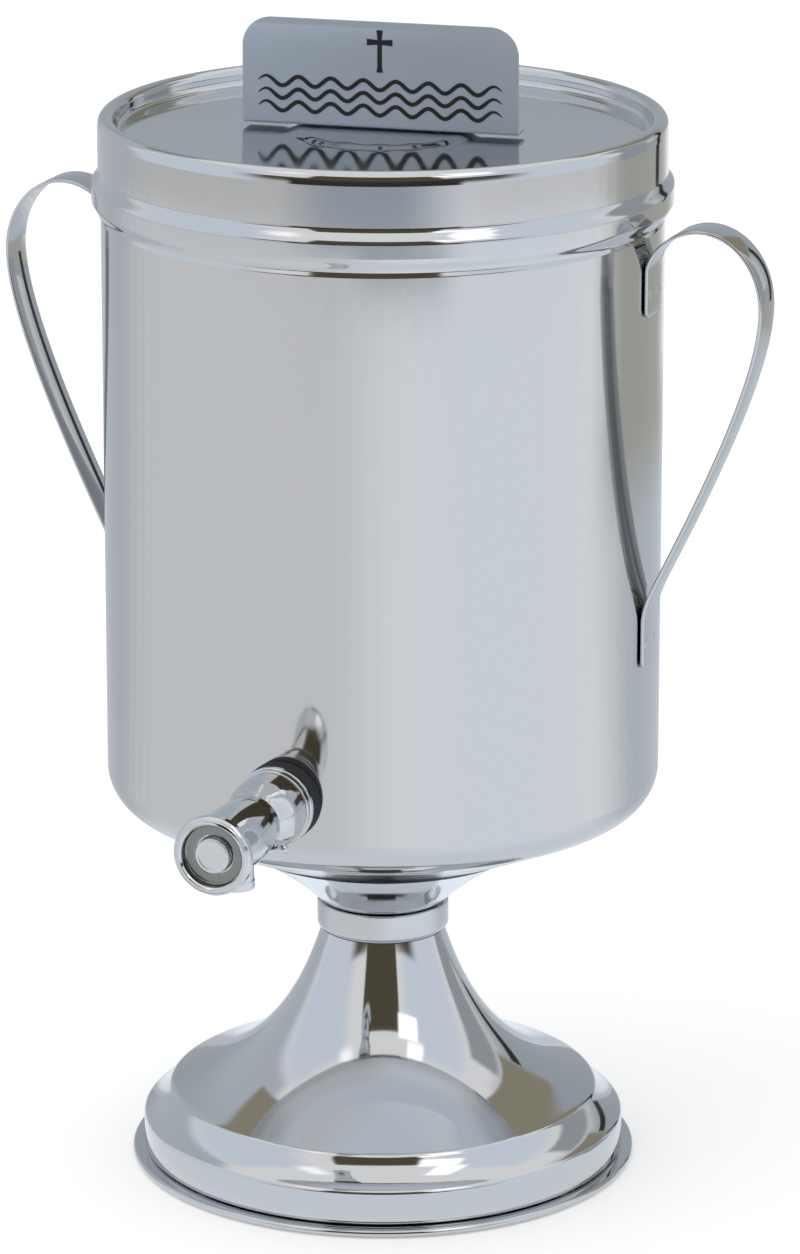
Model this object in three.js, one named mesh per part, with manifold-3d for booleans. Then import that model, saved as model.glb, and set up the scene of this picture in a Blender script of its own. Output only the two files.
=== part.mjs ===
// Holy water urn: a polished stainless tank on a flared pedestal, with two strap handles,
// a lift-off lid that carries a small sign, and a push-button tap at the front.
// Millimetres, +Z up. The origin is the centre of the underside of the base; the tap points
// along -Y and the handles lie on the X axis.

import * as THREE from 'three';
import { mergeVertices } from 'three/addons/utils/BufferGeometryUtils.js';
import Module from 'manifold-3d';

const wasm = await Module();
wasm.setup();

// Driving sizes

const seatGap = 0.3;
const cutOverrun = 2;

const facets = {
	large: 48,
	medium: 36,
	small: 24,
	tiny: 16,
	hexagon: 6,
	seal: 8,
	corner: 3,
	arc: 4,
	flare: 7,
	rise: 7,
	crown: 8,
	crest: 5,
	bead: 5,
};

const felt = { skirtInset: 1.1, thickness: 1.2 };

const basePlate = {
	rimReach: 4.4,
	rimHeight: 2.8,
	gauge: 1.6,
	wellRadius: 16,
	wellFootRadius: 22,
	wellRise: 9.5,
};

const pedestal = {
	gauge: 1,
	skirtRadius: 89.5,
	skirtHeight: 12.9,
	shoulderRise: 10.5,
	shoulderWidth: 10.2,
	neckInset: 1.55,
	trumpetHeight: 61.2,
	flareTopShares: [ 0.245, 0.753 ],
	flareFootShares: [ 0.327, 0.119 ],
	shoulderShares: [ 0.33, 0.31 ],
};

const collar = { radius: 24.35, height: 10.6, topRound: 0.8, footRound: 1.6 };

const cup = {
	gauge: 1,
	floorInset: 1.75,
	throatInset: 0.35,
	throatRise: 0.9,
	mouthRadius: 54,
	mouthRim: 2.1,
	height: 22.9,
	flareShares: [ 0.417, 0.568 ],
};

const tieRod = { radius: 4, topTail: 2.2, footTail: 0.6 };
const tieWasher = { radius: 8.4, thickness: 1.6 };
const tieNut = { acrossFlats: 13, thickness: 6.5 };

const tank = {
	radius: 101.5,
	gauge: 0.9,
	cornerRadius: 15,
	dishDepth: 15.4,
	height: 272,
	neckHeight: 34.8,
	neckInset: 0.5,
	neckSlope: 1,
	rimRollRadius: 1.8,
	rimRollDegrees: 300,
};

const lid = {
	gauge: 0.9,
	deckDrop: 3.7,
	deckFillet: 2.2,
	bossTopRadius: 30,
	bossFootRadius: 35,
	bossRise: 1,
	skirtDepth: 32.4,
	skirtGap: 0.5,
	beadHeight: 15.4,
	beadBulge: 2.35,
	beadSharpness: 1.5,
	turnDegrees: 6,
};

const sign = {
	width: 101.6,
	height: 38.7,
	gauge: 1.2,
	cornerRadius: 10.5,
	footDepth: 9.6,
	screwSpacing: 40,
};

const signScrew = { radius: 1.5, headRadius: 2.8, headHeight: 1.8, tail: 1.2 };
const signNut = { acrossFlats: 5.5, thickness: 2.4 };

const handle = {
	width: 16,
	gauge: 1.2,
	padLength: 17.4,
	padCorner: 3,
	upperPadDrop: 30,
	topReach: 19.5,
	topRise: 15.4,
	outerReach: 42.1,
	crownDrop: 27.4,
	bendReach: 4.7,
	fallDrop: 102.5,
	landing: 5.7,
	riseShares: [ 0.39, 0.55 ],
	crownShares: [ 0.53, 0.58 ],
	fallShares: [ 0.215, 0.53, 0.395 ],
};

const faucet = {
	shankRadius: 9.2,
	shankReach: 15,
	inletBore: 6.6,
	seatBore: 4.2,
	seatStart: 8,
	seatLength: 5,
	chamberBore: 7,
	chamberEnd: 49,
	glandBore: 8.2,
	flangeStart: 6.3,
	flangeRadius: 14.3,
	flangeThickness: 2.2,
	grooveWidth: 0.6,
	grooveDepth: 0.8,
	stepRadius: 13.9,
	stepThickness: 2,
	bellRadius: 13.6,
	bellEnd: 29.5,
	waistRadius: 10.4,
	barrelRadius: 11.8,
	barrelEnd: 57.7,
	barrelLipRadius: 10.8,
	nubRadius: 1.7,
	nubPlace: 20.7,
	nubDegrees: 38,
};

const spout = { place: 44.5, radius: 6.3, bore: 4.2, drop: 18.2, lipRadius: 6.6, lipHeight: 3, seat: 8.2 };

const gland = { thickness: 2.7, sealDepth: 1.5 };
const springSeat = { thickness: 0.7 };
const stemSeal = { wire: 0.75 };

const bezel = {
	radius: 14.25,
	front: 68,
	rimLength: 4.4,
	rimRound: 1.2,
	mouthRadius: 11.1,
	cupDepth: 3.6,
	floorRadius: 7.2,
	floorStep: 1,
	backRadius: 11.6,
};

const button = { radius: 6.35, sink: 1.2, skirt: 1.1, face: 2.1, length: 8.6, edgeRound: 0.8 };
const stem = { radius: 2, footTail: 0.6 };
const disc = { radius: 5.6, thickness: 2.9 };
const retainer = { radius: 3.4, thickness: 2.2 };
const spring = { meanRadius: 4.1, wire: 0.4, turns: 6, wireSides: 5, stepsPerTurn: 8 };

const outerGasket = { radius: 14.4 };
const innerGasket = { radius: 13.4, thickness: 3 };
const shankWasher = { radius: 13, thickness: 1.2 };
const shankNut = { acrossFlats: 23, thickness: 5 };

// Heights and radii that follow from the driving sizes, from the floor up

const feltRadius = pedestal.skirtRadius - felt.skirtInset;
const plateRimRadius = pedestal.skirtRadius + basePlate.rimReach;
const creaseRadius = pedestal.skirtRadius - pedestal.shoulderWidth;
const pedestalNeckRadius = collar.radius - pedestal.neckInset;
const cupFloorRadius = collar.radius - cup.floorInset;
const cupThroatRadius = collar.radius - cup.throatInset;
const plateUnderside = felt.thickness + seatGap;
const plateRimBottom = seatGap;
const plateTop = plateUnderside + basePlate.gauge;
const pedestalFoot = plateTop + seatGap;
const shoulderHeight = pedestalFoot + pedestal.skirtHeight;
const creaseHeight = shoulderHeight + pedestal.shoulderRise;
const pedestalTop = creaseHeight + pedestal.trumpetHeight;
const collarFoot = pedestalTop + seatGap;
const collarTop = collarFoot + collar.height;
const cupFoot = collarTop + seatGap;
const cupTop = cupFoot + cup.height;
const tankFoot = cupTop + seatGap;
const rimTop = tankFoot + tank.height;
const rimRollHeight = rimTop - tank.rimRollRadius;
const neckRadius = tank.radius - tank.neckInset;
const rimRollCentre = neckRadius - tank.rimRollRadius;
const neckFoot = rimTop - tank.neckHeight;
const cornerHeight = tankFoot + tank.dishDepth + tank.cornerRadius;

const crestRadius = tank.rimRollRadius + seatGap + lid.gauge;
const lidWallRadius = neckRadius + lid.skirtGap + lid.gauge;
const deckTop = rimRollHeight - lid.deckDrop;
const deckUnderside = deckTop - lid.gauge;
const bossTop = deckTop + lid.bossRise;
const lidFoot = rimRollHeight - lid.skirtDepth;
const signFoot = bossTop + seatGap;

const rodHole = tieRod.radius + seatGap;
const wellUnderside = plateUnderside + basePlate.wellRise;
const lowerWasherTop = wellUnderside - seatGap;
const lowerNutTop = lowerWasherTop - tieWasher.thickness - seatGap;
const rodFoot = lowerNutTop - tieNut.thickness - tieRod.footTail;
const upperWasherFoot = cupFoot + cup.gauge + seatGap;
const upperNutFoot = upperWasherFoot + tieWasher.thickness + seatGap;
const rodTop = upperNutFoot + tieNut.thickness + tieRod.topTail;

const widestSeal = Math.max( outerGasket.radius, innerGasket.radius, shankWasher.radius );
const tapHeight = cornerHeight + widestSeal + seatGap;
const chamberStart = faucet.seatStart + faucet.seatLength;
const glandStart = faucet.chamberEnd + seatGap;
const springSeatStart = glandStart + gland.thickness + seatGap;
const springStart = springSeatStart + springSeat.thickness + seatGap;
const bezelBack = faucet.barrelEnd + seatGap;
const bezelFloor = bezel.front - bezel.cupDepth;
const bezelBore = button.radius + seatGap;
const bezelSpigot = faucet.glandBore - seatGap;
const bezelSpigotStart = springSeatStart + springSeat.thickness + seatGap;
const buttonFront = bezel.front - button.sink;
const buttonPocket = buttonFront - button.face;
const springEnd = buttonPocket - seatGap;
const discFront = faucet.seatStart - seatGap;
const discBack = discFront - disc.thickness;
const retainerFront = discBack - seatGap;
const retainerBack = retainerFront - retainer.thickness;
const stemBore = stem.radius + seatGap;
const innerGasketFront = - tank.gauge - seatGap;
const innerGasketBack = innerGasketFront - innerGasket.thickness;
const washerFront = innerGasketBack - seatGap;
const washerBack = washerFront - shankWasher.thickness;
const nutFront = washerBack - seatGap;
const shankBore = faucet.shankRadius + seatGap;

// Finishes

const polished = new THREE.MeshStandardMaterial({ color: 0xd3d7db, roughness: 0.06, metalness: 1 });
const brushed = new THREE.MeshStandardMaterial({ color: 0xc6c8ca, roughness: 0.22, metalness: 1 });
const satin = new THREE.MeshStandardMaterial({ color: 0x8f9aa8, roughness: 0.35, metalness: 0.9 });
const rubber = new THREE.MeshStandardMaterial({ color: 0x151516, roughness: 0.6, metalness: 0 });
const brass = new THREE.MeshStandardMaterial({ color: 0xb5935a, roughness: 0.3, metalness: 1 });
const steel = new THREE.MeshStandardMaterial({ color: 0x9c9fa3, roughness: 0.35, metalness: 1 });
const feltCloth = new THREE.MeshStandardMaterial({ color: 0x23362b, roughness: 0.95, metalness: 0 });

// Solid making

function toSolid( geometry ) {

	const bare = geometry.clone();
	bare.deleteAttribute( 'normal' );
	bare.deleteAttribute( 'uv' );
	const merged = mergeVertices( bare );
	const corners = merged.index.array;
	const kept = [];

	for ( let i = 0; i < corners.length; i += 3 ) {

		const [ a, b, c ] = [ corners[ i ], corners[ i + 1 ], corners[ i + 2 ] ];
		if ( a !== b && b !== c && c !== a ) kept.push( a, b, c );

	}

	const places = new Float32Array( merged.attributes.position.array );
	const isInsideOut = enclosedVolume( places, kept ) < 0;
	const triangles = isInsideOut ? kept.reverse() : kept;
	const mesh = new wasm.Mesh( { numProp: 3, vertProperties: places, triVerts: new Uint32Array( triangles ) } );
	return new wasm.Manifold( mesh );

}

function enclosedVolume( places, triangles ) {

	const [ a, b, c ] = [ new THREE.Vector3(), new THREE.Vector3(), new THREE.Vector3() ];
	let total = 0;

	for ( let i = 0; i < triangles.length; i += 3 ) {

		a.fromArray( places, triangles[ i ] * 3 );
		b.fromArray( places, triangles[ i + 1 ] * 3 );
		c.fromArray( places, triangles[ i + 2 ] * 3 );
		total += a.dot( b.cross( c ) );

	}

	return total / 6;

}

function toMesh( name, solid, material ) {

	const cut = solid.getMesh();
	const geometry = new THREE.BufferGeometry();
	geometry.setAttribute( 'position', new THREE.BufferAttribute( new Float32Array( cut.vertProperties ), 3 ) );
	geometry.setIndex( new THREE.BufferAttribute( new Uint32Array( cut.triVerts ), 1 ) );
	geometry.computeVertexNormals();
	const mesh = new THREE.Mesh( geometry, material );
	mesh.name = name;
	return mesh;

}

// A profile is a list of (radius, height) points; it is turned about the Z axis
function turned( profile, segments ) {

	const points = profile.map( ( [ radius, height ] ) => new THREE.Vector2( radius, height ) );
	const [ first, last ] = [ points[ 0 ], points[ points.length - 1 ] ];
	const isOnAxis = first.x === 0 && last.x === 0;
	if ( ! isOnAxis ) points.push( first.clone() );
	return toSolid( new THREE.LatheGeometry( points, segments ).rotateX( Math.PI / 2 ) );

}

function ring( innerRadius, outerRadius, foot, top, segments ) {

	return turned( [ [ innerRadius, foot ], [ outerRadius, foot ], [ outerRadius, top ], [ innerRadius, top ] ], segments );

}

function rod( radius, foot, top, segments ) {

	return turned( [ [ 0, foot ], [ radius, foot ], [ radius, top ], [ 0, top ] ], segments );

}

function hexNut( acrossFlats, boreRadius, foot, top ) {

	const cornerRadius = acrossFlats / Math.sqrt( 3 );
	const blank = rod( cornerRadius, foot, top, facets.hexagon );
	return blank.subtract( rod( boreRadius, foot - cutOverrun, top + cutOverrun, facets.tiny ) );

}

function arc( centreRadius, centreHeight, radius, fromDegrees, toDegrees, steps ) {

	return Array.from( { length: steps + 1 }, ( _, i ) => {

		const angle = THREE.MathUtils.degToRad( THREE.MathUtils.lerp( fromDegrees, toDegrees, i / steps ) );
		return [ centreRadius + radius * Math.cos( angle ), centreHeight + radius * Math.sin( angle ) ];

	} );

}

function bezier( points, steps ) {

	const [ a, b, c, d ] = points.map( ( [ x, y ] ) => new THREE.Vector2( x, y ) );
	const curve = d ? new THREE.CubicBezierCurve( a, b, c, d ) : new THREE.QuadraticBezierCurve( a, b, c );
	return curve.getPoints( steps ).map( ( point ) => [ point.x, point.y ] );

}

// The same line moved sideways, to its left, by one distance
function offsetLine( points, distance ) {

	return points.map( ( [ x, y ], i ) => {

		const [ backX, backY ] = points[ Math.max( i - 1, 0 ) ];
		const [ nextX, nextY ] = points[ Math.min( i + 1, points.length - 1 ) ];
		const along = new THREE.Vector2( nextX - backX, nextY - backY ).normalize();
		return [ x - along.y * distance, y + along.x * distance ];

	} );

}

function extruded( outline, depth ) {

	const shape = new THREE.Shape( outline.map( ( [ x, y ] ) => new THREE.Vector2( x, y ) ) );
	return new THREE.ExtrudeGeometry( shape, { depth, bevelEnabled: false } );

}

// Base

function makeFelt() {

	return toMesh( 'base_felt', rod( feltRadius, 0, felt.thickness, facets.medium ), feltCloth );

}

function makeBasePlate() {

	const halfRim = basePlate.rimHeight / 2;
	const rimCentre = plateRimRadius - halfRim;
	const recessRadius = feltRadius + seatGap;
	const wellTop = wellUnderside + basePlate.gauge;
	const profile = [
		[ rodHole, wellUnderside ],
		[ basePlate.wellRadius, wellUnderside ],
		[ basePlate.wellFootRadius, plateUnderside ],
		[ recessRadius, plateUnderside ],
		[ recessRadius, plateRimBottom ],
		...arc( rimCentre, plateRimBottom + halfRim, halfRim, - 90, 90, facets.arc ),
		[ basePlate.wellFootRadius + basePlate.gauge, plateTop ],
		[ basePlate.wellRadius + basePlate.gauge, wellTop ],
		[ rodHole, wellTop ],
	];
	return toMesh( 'base_plate', turned( profile, facets.medium ), polished );

}

function makePedestalBase() {

	const flareWidth = creaseRadius - pedestalNeckRadius;
	const [ topOut, topDown ] = pedestal.flareTopShares;
	const [ footIn, footUp ] = pedestal.flareFootShares;
	const [ hollowOut, hollowUp ] = pedestal.shoulderShares;
	const outside = [
		[ pedestal.skirtRadius, pedestalFoot ],
		...bezier( [
			[ pedestal.skirtRadius, shoulderHeight ],
			[ creaseRadius + pedestal.shoulderWidth * hollowOut, shoulderHeight + pedestal.shoulderRise * hollowUp ],
			[ creaseRadius, creaseHeight ],
		], facets.arc ),
		...bezier( [
			[ creaseRadius, creaseHeight ],
			[ creaseRadius - flareWidth * footIn, creaseHeight + pedestal.trumpetHeight * footUp ],
			[ pedestalNeckRadius + flareWidth * topOut, pedestalTop - pedestal.trumpetHeight * topDown ],
			[ pedestalNeckRadius, pedestalTop ],
		], facets.flare ).slice( 1 ),
	];
	const inside = offsetLine( outside, pedestal.gauge );
	inside[ 0 ] = [ pedestal.skirtRadius - pedestal.gauge, pedestalFoot ];
	inside[ inside.length - 1 ] = [ pedestalNeckRadius - pedestal.gauge, pedestalTop - pedestal.gauge ];
	const top = [ [ rodHole, pedestalTop ], [ rodHole, pedestalTop - pedestal.gauge ] ];
	const profile = [ ...outside, ...top, ...inside.reverse() ];
	return toMesh( 'pedestal_base', turned( profile, facets.medium ), polished );

}

function makeCollar() {

	const { radius, footRound, topRound } = collar;
	const profile = [
		[ rodHole, collarFoot ],
		...arc( radius - footRound, collarFoot + footRound, footRound, - 90, 0, facets.corner ),
		...arc( radius - topRound, collarTop - topRound, topRound, 0, 90, facets.corner ),
		[ rodHole, collarTop ],
	];
	return toMesh( 'neck_collar', turned( profile, facets.medium ), polished );

}

function makeCup() {

	const throatHeight = cupFoot + cup.throatRise;
	const [ flareOut, flareUp ] = cup.flareShares;
	const outside = [
		[ cupFloorRadius, cupFoot ],
		...bezier( [
			[ cupThroatRadius, throatHeight ],
			[
				THREE.MathUtils.lerp( cupThroatRadius, cup.mouthRadius, flareOut ),
				THREE.MathUtils.lerp( throatHeight, cupTop, flareUp ),
			],
			[ cup.mouthRadius, cupTop ],
		], facets.arc ),
	];
	const inside = offsetLine( outside, cup.gauge );
	inside[ 0 ] = [ cupFloorRadius - cup.gauge, cupFoot + cup.gauge ];
	inside[ inside.length - 1 ] = [ cup.mouthRadius - cup.mouthRim, cupTop ];
	const floor = [ [ rodHole, cupFoot + cup.gauge ], [ rodHole, cupFoot ] ];
	const profile = [ ...outside, ...inside.reverse(), ...floor ];
	return toMesh( 'pedestal_cup', turned( profile, facets.medium ), polished );

}

function makeTie() {

	const lowerNutFoot = lowerNutTop - tieNut.thickness;
	const lowerWasherFoot = lowerWasherTop - tieWasher.thickness;
	const upperWasherTop = upperWasherFoot + tieWasher.thickness;
	const upperNutTop = upperNutFoot + tieNut.thickness;
	const washer = ( foot, top ) => ring( rodHole, tieWasher.radius, foot, top, facets.small );
	const nut = ( foot, top ) => hexNut( tieNut.acrossFlats, rodHole, foot, top );
	return [
		toMesh( 'tie_rod', rod( tieRod.radius, rodFoot, rodTop, facets.tiny ), steel ),
		toMesh( 'lower_tie_washer', washer( lowerWasherFoot, lowerWasherTop ), steel ),
		toMesh( 'lower_tie_nut', nut( lowerNutFoot, lowerNutTop ), steel ),
		toMesh( 'upper_tie_washer', washer( upperWasherFoot, upperWasherTop ), steel ),
		toMesh( 'upper_tie_nut', nut( upperNutFoot, upperNutTop ), steel ),
	];

}

// Tank and lid

function makeTank() {

	const { cornerRadius, gauge } = tank;
	const floorRadius = cup.mouthRadius;
	const cornerCentre = tank.radius - cornerRadius;
	const innerRadius = tank.radius - gauge;
	const toCorner = new THREE.Vector2( cornerCentre - floorRadius, cornerHeight - tankFoot );
	const dishSlope = toCorner.angle() - Math.asin( cornerRadius / toCorner.length() );
	const cornerEnd = THREE.MathUtils.radToDeg( dishSlope ) - 90;
	const profile = [
		[ 0, tankFoot ],
		[ floorRadius, tankFoot ],
		...arc( cornerCentre, cornerHeight, cornerRadius, cornerEnd, 0, facets.arc ),
		[ tank.radius, neckFoot - tank.neckSlope ],
		[ neckRadius, neckFoot ],
		...arc( rimRollCentre, rimRollHeight, tank.rimRollRadius, 0, tank.rimRollDegrees, facets.seal ),
		[ neckRadius - gauge, neckFoot ],
		[ innerRadius, neckFoot - tank.neckSlope ],
		...arc( cornerCentre, cornerHeight, cornerRadius - gauge, 0, cornerEnd, facets.arc ),
		[ floorRadius - gauge * Math.tan( dishSlope / 2 ), tankFoot + gauge ],
		[ 0, tankFoot + gauge ],
	];
	const tapHole = rod( shankBore, - tank.radius, cutOverrun, facets.small )
		.rotate( [ 90, 0, 0 ] )
		.translate( [ 0, - tank.radius, tapHeight ] );
	return toMesh( 'tank', turned( profile, facets.large ).subtract( tapHole ), brushed );

}

// Height of the lid's rounded bead over the wall, as a share, from -1 at its foot to 1 at its top
function beadShare( place ) {

	return Math.pow( Math.cos( place * Math.PI / 2 ), lid.beadSharpness );

}

function lidSkirt( wallRadius, steps ) {

	return Array.from( { length: steps + 1 }, ( _, i ) => {

		const place = 1 - 2 * i / steps;
		const height = lidFoot + lid.beadHeight * ( place + 1 ) / 2;
		const bulge = Math.abs( place ) < 1 ? lid.beadBulge * beadShare( place ) : 0;
		return [ wallRadius + bulge, height ];

	} );

}

function makeLid() {

	const innerCrest = crestRadius - lid.gauge;
	const filletCentre = rimRollCentre - crestRadius - lid.deckFillet;
	const outerFillet = lid.deckFillet + lid.gauge;
	const profile = [
		[ 0, bossTop ],
		[ lid.bossTopRadius, bossTop ],
		[ lid.bossFootRadius, deckTop ],
		...arc( filletCentre, deckTop + lid.deckFillet, lid.deckFillet, - 90, 0, facets.corner ),
		...arc( rimRollCentre, rimRollHeight, crestRadius, 180, 0, facets.crest ),
		...lidSkirt( lidWallRadius, facets.bead ),
		...lidSkirt( lidWallRadius - lid.gauge, facets.bead ).reverse(),
		...arc( rimRollCentre, rimRollHeight, innerCrest, 0, 180, facets.crest ),
		...arc( filletCentre, deckTop + lid.deckFillet, outerFillet, 0, - 90, facets.corner ),
		[ lid.bossFootRadius, deckUnderside ],
		[ lid.bossTopRadius, bossTop - lid.gauge ],
		[ 0, bossTop - lid.gauge ],
	];
	let shell = turned( profile, facets.large );

	for ( const side of [ - 1, 1 ] ) {

		const hole = rod( signScrew.radius + seatGap, deckUnderside - cutOverrun, signFoot + cutOverrun, facets.tiny );
		shell = shell.subtract( hole.translate( [ side * sign.screwSpacing / 2, 0, 0 ] ) );

	}

	return toMesh( 'lid', shell, polished );

}

function makeSign() {

	const half = sign.width / 2;
	const top = signFoot + sign.height;
	const round = sign.cornerRadius;
	const outline = [
		[ - half, signFoot ],
		[ half, signFoot ],
		...arc( half - round, top - round, round, 0, 90, facets.arc ),
		...arc( - half + round, top - round, round, 90, 180, facets.arc ),
	];
	const face = toSolid( extruded( outline, sign.gauge ).rotateX( Math.PI / 2 ) )
		.translate( [ 0, sign.gauge - sign.footDepth / 2, 0 ] );
	const footBox = new THREE.BoxGeometry( sign.width, sign.footDepth, sign.gauge )
		.translate( 0, 0, signFoot + sign.gauge / 2 );
	let plate = face.add( toSolid( footBox ) );

	for ( const side of [ - 1, 1 ] ) {

		const hole = rod( signScrew.radius + seatGap, signFoot - cutOverrun, signFoot + cutOverrun, facets.tiny );
		plate = plate.subtract( hole.translate( [ side * sign.screwSpacing / 2, 0, 0 ] ) );

	}

	return toMesh( 'sign_plate', plate, satin );

}

function makeSignFastener( side, sideName ) {

	const headFoot = signFoot + sign.gauge + seatGap;
	const headTop = headFoot + signScrew.headHeight;
	const nutTop = bossTop - lid.gauge - seatGap;
	const nutFoot = nutTop - signNut.thickness;
	const screwFoot = nutFoot - signScrew.tail;
	const screw = turned( [
		[ 0, screwFoot ],
		[ signScrew.radius, screwFoot ],
		[ signScrew.radius, headFoot ],
		[ signScrew.headRadius, headFoot ],
		[ signScrew.headRadius, headFoot + signScrew.headHeight / 2 ],
		[ signScrew.radius, headTop ],
		[ 0, headTop ],
	], facets.tiny );
	const nut = hexNut( signNut.acrossFlats, signScrew.radius + seatGap, nutFoot, nutTop );
	const place = [ side * sign.screwSpacing / 2, 0, 0 ];
	return [
		toMesh( `sign_screw_${ sideName }`, screw.translate( place ), steel ),
		toMesh( `sign_nut_${ sideName }`, nut.translate( place ), steel ),
	];

}

// Handles: a flat strap, bent in the XZ plane, with its two ends flat against the tank

function handleLine() {

	const wall = tank.radius + seatGap + handle.gauge / 2;
	const top = wall + handle.topReach;
	const outer = wall + handle.outerReach;
	const bend = wall + handle.bendReach;
	const upperPadTop = neckFoot - handle.upperPadDrop + handle.padLength;
	const topHeight = upperPadTop + handle.topRise;
	const outerHeight = topHeight - handle.crownDrop;
	const bendHeight = outerHeight - handle.fallDrop;
	const [ riseUp, riseBack ] = handle.riseShares;
	const [ crownOut, crownUp ] = handle.crownShares;
	const [ fallDown, fallOut, fallUp ] = handle.fallShares;
	const fallControl = [
		bend + ( outer - bend ) * fallOut,
		bendHeight + handle.fallDrop * fallUp,
	];
	const slope = ( fallControl[ 0 ] - bend ) / ( fallControl[ 1 ] - bendHeight );
	const bendCorner = bendHeight - handle.bendReach / slope;
	return [
		...bezier( [
			[ wall, upperPadTop ],
			[ wall, upperPadTop + handle.topRise * riseUp ],
			[ top - handle.topReach * riseBack, topHeight ],
			[ top, topHeight ],
		], facets.rise ),
		...bezier( [
			[ top, topHeight ],
			[ top + ( outer - top ) * crownOut, topHeight ],
			[ outer, outerHeight + handle.crownDrop * crownUp ],
			[ outer, outerHeight ],
		], facets.crown ).slice( 1 ),
		...bezier( [
			[ outer, outerHeight ],
			[ outer, outerHeight - handle.fallDrop * fallDown ],
			fallControl,
			[ bend, bendHeight ],
		], facets.crown ).slice( 1 ),
		...bezier( [
			[ bend, bendHeight ],
			[ wall, bendCorner ],
			[ wall, bendCorner - handle.landing ],
		], facets.arc ).slice( 1 ),
	];

}

function makePad( top ) {

	const half = handle.width / 2;
	const cornerHeight = top - handle.padLength + handle.padCorner;
	const overlapTop = top + handle.gauge / 2;
	const outline = [
		...arc( - half + handle.padCorner, cornerHeight, handle.padCorner, 180, 270, facets.arc ),
		...arc( half - handle.padCorner, cornerHeight, handle.padCorner, 270, 360, facets.arc ),
		[ half, overlapTop ],
		[ - half, overlapTop ],
	];
	const blank = extruded( outline, handle.gauge ).rotateX( Math.PI / 2 ).rotateZ( Math.PI / 2 );
	return toSolid( blank.translate( tank.radius + seatGap, 0, 0 ) );

}

function makeHandle( name ) {

	const line = handleLine();
	const left = offsetLine( line, handle.gauge / 2 );
	const right = offsetLine( line, - handle.gauge / 2 );
	const strap = extruded( [ ...left, ...right.reverse() ], handle.width )
		.rotateX( Math.PI / 2 )
		.translate( 0, handle.width / 2, 0 );
	const upperPadTop = line[ 0 ][ 1 ];
	const lowerPadTop = line[ line.length - 1 ][ 1 ];
	const solid = toSolid( strap ).add( makePad( upperPadTop ) ).add( makePad( lowerPadTop ) );
	return toMesh( name, solid, polished );

}

// Tap, drawn along its own axis: z runs outwards from the tank wall and y is up

function makeFaucetBody() {

	const stepStart = faucet.flangeStart + faucet.flangeThickness + faucet.grooveWidth;
	const stepEnd = stepStart + faucet.stepThickness;
	const bellStart = stepEnd + faucet.grooveWidth;
	const bellLength = faucet.bellEnd - bellStart;
	const barrelLength = faucet.barrelEnd - faucet.bellEnd;
	const grooveRadius = faucet.bellRadius - faucet.grooveDepth;
	const bellShares = [ [ 0, 1 ], [ 0.25, 0.97 ], [ 0.5, 0.82 ], [ 0.75, 0.44 ], [ 0.92, 0.1 ], [ 1, 0 ] ];
	const barrelShares = [ [ 0.08, 0.2 ], [ 0.22, 0.65 ], [ 0.4, 0.92 ], [ 0.6, 1 ], [ 0.8, 0.75 ] ];
	const bell = bellShares.map( ( [ along, out ] ) => [
		faucet.waistRadius + ( faucet.bellRadius - faucet.waistRadius ) * out,
		bellStart + bellLength * along,
	] );
	const barrel = barrelShares.map( ( [ along, out ] ) => [
		faucet.waistRadius + ( faucet.barrelRadius - faucet.waistRadius ) * out,
		faucet.bellEnd + barrelLength * along,
	] );
	const profile = [
		[ faucet.inletBore, - faucet.shankReach ],
		[ faucet.shankRadius, - faucet.shankReach ],
		[ faucet.shankRadius, faucet.flangeStart ],
		[ faucet.flangeRadius, faucet.flangeStart ],
		[ faucet.flangeRadius, stepStart - faucet.grooveWidth ],
		[ grooveRadius, stepStart - faucet.grooveWidth ],
		[ grooveRadius, stepStart ],
		[ faucet.stepRadius, stepStart ],
		[ faucet.stepRadius, stepEnd ],
		[ grooveRadius, stepEnd ],
		[ grooveRadius, bellStart ],
		...bell,
		...barrel,
		[ faucet.barrelLipRadius, faucet.barrelEnd ],
		[ faucet.glandBore, faucet.barrelEnd ],
		[ faucet.glandBore, faucet.chamberEnd ],
		[ faucet.chamberBore, faucet.chamberEnd ],
		[ faucet.chamberBore, chamberStart ],
		[ faucet.seatBore, chamberStart ],
		[ faucet.seatBore, faucet.seatStart ],
		[ faucet.inletBore, faucet.seatStart ],
	];
	const socket = rod( spout.radius + seatGap, spout.seat, spout.drop, facets.small )
		.rotate( [ 90, 0, 0 ] )
		.translate( [ 0, 0, spout.place ] );
	const outlet = rod( spout.bore, 0, spout.drop, facets.small )
		.rotate( [ 90, 0, 0 ] )
		.translate( [ 0, 0, spout.place ] );
	const nubAngle = THREE.MathUtils.degToRad( faucet.nubDegrees );
	const nub = toSolid( new THREE.SphereGeometry( faucet.nubRadius, facets.tiny, facets.seal ) ).translate( [
		faucet.bellRadius * Math.sin( nubAngle ),
		- faucet.bellRadius * Math.cos( nubAngle ),
		faucet.nubPlace,
	] );
	const body = turned( profile, facets.small ).add( nub ).subtract( socket ).subtract( outlet );
	return toMesh( 'faucet_body', body, polished );

}

function makeSpout() {

	const profile = [
		[ spout.bore, - spout.drop ],
		[ spout.lipRadius, - spout.drop ],
		[ spout.lipRadius, - spout.drop + spout.lipHeight ],
		[ spout.radius, - spout.drop + spout.lipHeight + ( spout.lipRadius - spout.radius ) ],
		[ spout.radius, - spout.seat - seatGap ],
		[ spout.bore, - spout.seat - seatGap ],
	];
	const tube = turned( profile, facets.small )
		.rotate( [ - 90, 0, 0 ] )
		.translate( [ 0, 0, spout.place ] );
	return toMesh( 'faucet_spout', tube, polished );

}

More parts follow.
